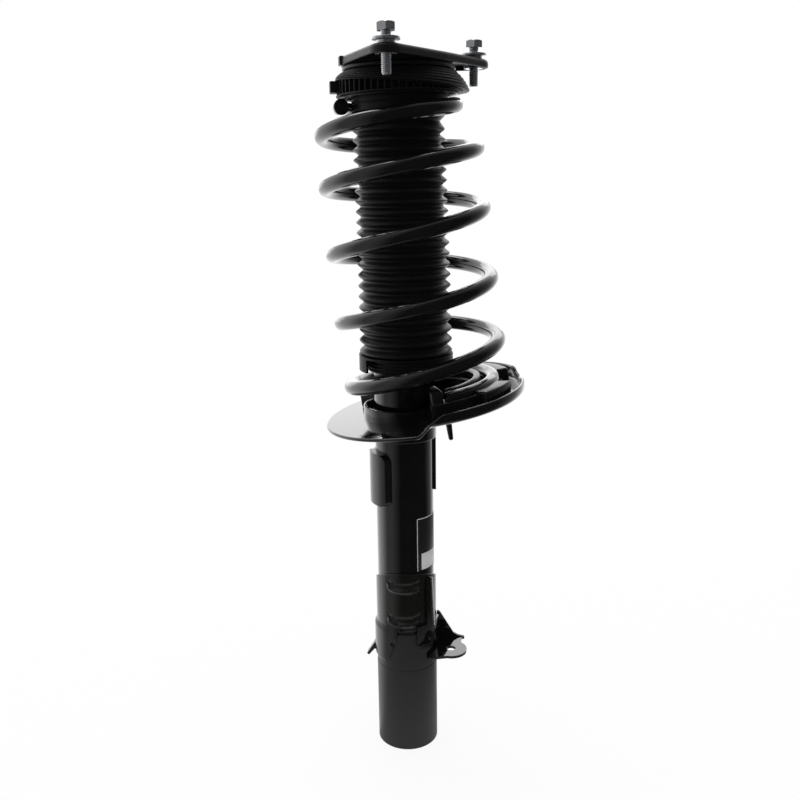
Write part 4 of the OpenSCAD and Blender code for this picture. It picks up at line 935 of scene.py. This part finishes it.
class STRUT_OT_band(bpy.types.Operator):
    """Builds the sheet band at the foot of the tube"""

    bl_idname = "strut.band"
    bl_label = "Band"

    def execute(self, context):
        piece("band", band_skin(), "strut_body", "gloss_black_paint", ["knuckle_band"], 45,
              "bracket_paint")
        # This thin wall's pale grey is a painted highlight, standing in for the bright line beside
        # the band's gap
        piece("band_edge", flange_skin(-33.5, 1.6, 3.4), "strut_body", "gloss_black_paint",
              sharp=60, finish="pale_highlight_edge")
        piece("band_wall", flange_skin(-38.5, 1.4, 2.8), "strut_body", "gloss_black_paint",
              sharp=60)
        return {"FINISHED"}


class STRUT_OT_upper_seat(bpy.types.Operator):
    """Builds the ribbed upper seat, the bearing housing and the rubber and foam pieces"""

    bl_idname = "strut.upper_seat"
    bl_label = "Upper seat, rubber and foam"

    def execute(self, context):
        ribs = context.scene.strut_sizes.ribs
        piece("upper_seat", upper_seat_skin(ribs), "upper_seat", "black_plastic",
              ["upper_spring_seat"], 30)
        piece("housing", housing_skin(), "upper_seat", "black_plastic", ["bearing_housing"], 60)
        piece("top_pad", top_pad_skin(), "upper_seat", "pad_rubber", ["upper_insulator"], 45)
        piece("buffer", buffer_skin(), "top_mount", "bump_foam", ["bump_stop"], 60)
        piece("mount_ring", mount_rubber_skin(), "top_mount", "pad_rubber", ["mount_rubber"], 60)
        return {"FINISHED"}


class STRUT_OT_mount(bpy.types.Operator):
    """Builds the mount plate with its bolts and washers"""

    bl_idname = "strut.mount"
    bl_label = "Mount plate and bolts"

    def execute(self, context):
        pitch = context.scene.strut_sizes.thread_pitch / MM
        piece("plate", plate_skin(), "top_mount", "mount_paint", ["mount_plate"], 42)
        piece("bolts", bolt_skin(pitch, (9.0, 9.0, 4.75)), "top_mount", "zinc_plating",
              ["tower_bolts"], 30)
        piece("washers", washer_skin(), "top_mount", "zinc_plating", ["bolt_washers"], 40)
        return {"FINISHED"}


class STRUT_OT_sticker(bpy.types.Operator):
    """Puts the plain sticker on the tube"""

    bl_idname = "strut.sticker"
    bl_label = "Plain sticker"

    def execute(self, context):
        sizes = context.scene.strut_sizes
        for name, skin, finish in zip(("sticker", "sticker_border", "sticker_block"),
                                      sticker_skins(sizes.sticker_height),
                                      ("sticker_ground", "sticker_pale", "sticker_pale")):
            piece(name, skin, "strut_body", "gloss_black_paint", finish=finish)
        return {"FINISHED"}


# The solids that no piece replaces, by finish
SOLIDS = {
    "gloss_black_paint": ("reserve_tube",),
    "satin_grey_paint": ("clamp_sleeve",),
    "bracket_paint": ("locating_tab", "link_bracket"),
    "seat_paint": ("hose_bracket",),
    "mount_paint": ("mount_cup",),
    "bare_steel": ("tube_cap", "end_plug", "mount_sleeve", "pressure_tube"),
    "zinc_plating": ("rod_nut", "rebound_washer", "weld_nuts", "piston_nut"),
    "rod_chrome": ("piston_rod",),
    "stop_plastic": ("bump_stop_cup", "rebound_stop"),
    "bearing_steel": ("bearing_lower_race", "bearing_upper_race", "bearing_balls"),
    "cage_plastic": ("ball_cage",),
    "sintered_metal": ("base_valve", "rod_guide", "piston"),
    "bush_liner": ("guide_bush", "piston_band"),
    "seal_rubber": ("rod_seal",),
}


class STRUT_OT_finishes(bpy.types.Operator):
    """Gives the solids that no piece replaces their finish"""

    bl_idname = "strut.finishes"
    bl_label = "Finishes of the solids"

    def execute(self, context):
        for finish, names in SOLIDS.items():
            for name in names:
                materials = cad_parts[name].data.materials
                materials.clear()
                materials.append(finish_of(finish))
        return {"FINISHED"}


class STRUT_OT_stage(bpy.types.Operator):
    """Sets up the floor, the light and the camera"""

    bl_idname = "strut.stage"
    bl_label = "Stage"

    def execute(self, context):
        scene = context.scene
        make_floor(scene.strut_colours.floor)
        make_world(scene)
        make_lamps()
        camera = bpy.data.cameras.new("camera")
        camera.sensor_width = 36
        camera.lens = 39.33
        camera.clip_end = 20
        eye = bpy.data.objects.new("camera", camera)
        scene.collection.objects.link(eye)
        place, dip, roll = (-0.0031, -0.734, 0.506), 13.8, -0.88
        eye.matrix_world = (Matrix.Translation(place)
                            @ Euler((math.radians(90 - dip), 0, 0)).to_matrix().to_4x4()
                            @ Matrix.Rotation(math.radians(roll), 4, "Z"))
        scene.camera = eye
        scene.view_settings.view_transform = "Standard"
        return {"FINISHED"}


def studio(net, way):
    """How bright the room is to a reflection that looks that way: white behind, grey at the
    sides and nearly black in front. The dark reaches further round towards +X."""
    x = net.node("ShaderNodeSeparateXYZ", None, {0: way}, out="X")
    y = net.node("ShaderNodeSeparateXYZ", None, {0: way}, out="Y")
    side = net.spread(y + 0.72 - x * 0.7, 0.0, 0.7) * 0.29 + 0.02
    return side + net.spread(y - x * 0.38, 0.17, 0.64) * (1 - side)


def make_floor(colour):
    """A pale floor disc: white to the camera, mixed with a matt surface that keeps the
    object's shadow, and as bright to reflections as the room is on that side, or brighter close
    to the object's foot. Beyond its edge the world goes on in the same white."""
    radius, foot = 0.75, 0.3
    ring = polar(radius, np.arange(0, 360, 6), 0.0)
    mesh = bpy.data.meshes.new("floor")
    mesh.from_pydata(ring.tolist(), [], [list(range(len(ring)))])
    floor = bpy.data.objects.new("floor", mesh)
    bpy.context.scene.collection.objects.link(floor)
    material = bpy.data.materials.new("floor")
    material.use_nodes = True
    net = Net(material.node_tree)
    camera = net.node("ShaderNodeLightPath", out="Is Camera Ray")
    glossy = net.node("ShaderNodeLightPath", out="Is Glossy Ray")
    where = net.node("ShaderNodeTexCoord", out="Object")
    way = net.node("ShaderNodeVectorMath", {"operation": "NORMALIZE"}, {0: where}, out="Vector")
    away = net.node("ShaderNodeVectorMath", {"operation": "LENGTH"}, {0: where}, out="Value")
    near = net.spread(foot - away, 0.0, 0.25) * 0.5
    seen = studio(net, way).math("MAXIMUM", near)
    matt = net.node("ShaderNodeBsdfDiffuse", None, {"Color": (*colour, 1)})
    glow = net.node("ShaderNodeEmission", None,
                    {"Color": (1, 1, 1, 1), "Strength": camera + seen * glossy})
    both = net.node("ShaderNodeMixShader", None, {0: camera * 0.9 + glossy, 1: matt, 2: glow})
    net.node("ShaderNodeOutputMaterial", None, {"Surface": both})
    mesh.materials.append(material)


def make_world(scene):
    """White to the camera, the studio to reflections and plain light on matt surfaces."""
    plain = 0.85
    world = bpy.data.worlds.new("world")
    scene.world = world
    world.use_nodes = True
    net = Net(world.node_tree)
    where = net.node("ShaderNodeTexCoord", out="Generated")
    glossy = net.node("ShaderNodeLightPath", out="Is Glossy Ray")
    camera = net.node("ShaderNodeLightPath", out="Is Camera Ray")
    level = (plain + (studio(net, where) - plain) * glossy).math("MAXIMUM", camera)
    glow = net.node("ShaderNodeBackground", None, {"Color": (1, 1, 1, 1), "Strength": level})
    net.node("ShaderNodeOutputWorld", None, {"Surface": glow})


def make_lamps():
    """Soft boxes low behind and above, unseen by the camera."""
    for name, place, aim, size, power in (
            ("soft_back", (-0.5, 2.0, 0.62), (0, 0, 0.35), (2.6, 0.8), 3.5),
            ("soft_high", (0.1, 1.8, 1.3), (0, 0, 0.1), (2.2, 0.6), 4.5),
            ("soft_top", (-0.3, 0.5, 2.0), (0, 0, 0.3), (1.0, 1.0), 8)):
        light = bpy.data.lights.new(name, "AREA")
        light.shape = "RECTANGLE"
        light.size, light.size_y = size
        light.energy = power
        lamp = bpy.data.objects.new(name, light)
        lamp.location = place
        way = Vector(aim) - Vector(place)
        lamp.rotation_euler = way.to_track_quat("-Z", "Y").to_euler()
        lamp.visible_camera = False
        bpy.context.scene.collection.objects.link(lamp)


class STRUT_PT_panel(bpy.types.Panel):
    """Lists the sizes, the colours and the pieces"""

    bl_idname = "STRUT_PT_panel"
    bl_label = "Suspension strut"
    bl_space_type = "VIEW_3D"
    bl_region_type = "UI"
    bl_category = "Strut"

    def draw(self, context):
        layout = self.layout
        for group in (context.scene.strut_sizes, context.scene.strut_colours):
            for key in group.__annotations__:
                layout.prop(group, key)
        for operator in OPERATORS:
            layout.operator(operator.bl_idname)


OPERATORS = (STRUT_OT_finishes, STRUT_OT_spring, STRUT_OT_boot, STRUT_OT_lower_seat,
             STRUT_OT_band, STRUT_OT_upper_seat, STRUT_OT_mount, STRUT_OT_sticker, STRUT_OT_stage)
CLASSES = (StrutSizes, StrutColours, *OPERATORS, STRUT_PT_panel)


def register():
    for cls in CLASSES:
        bpy.utils.register_class(cls)
    bpy.types.Scene.strut_sizes = PointerProperty(type=StrutSizes)
    bpy.types.Scene.strut_colours = PointerProperty(type=StrutColours)


def unregister():
    del bpy.types.Scene.strut_sizes
    del bpy.types.Scene.strut_colours
    for cls in reversed(CLASSES):
        bpy.utils.unregister_class(cls)


def main():
    register()
    for operator in OPERATORS:
        group, name = operator.bl_idname.split(".")
        getattr(getattr(bpy.ops, group), name)()


if __name__ == "__main__":
    main()
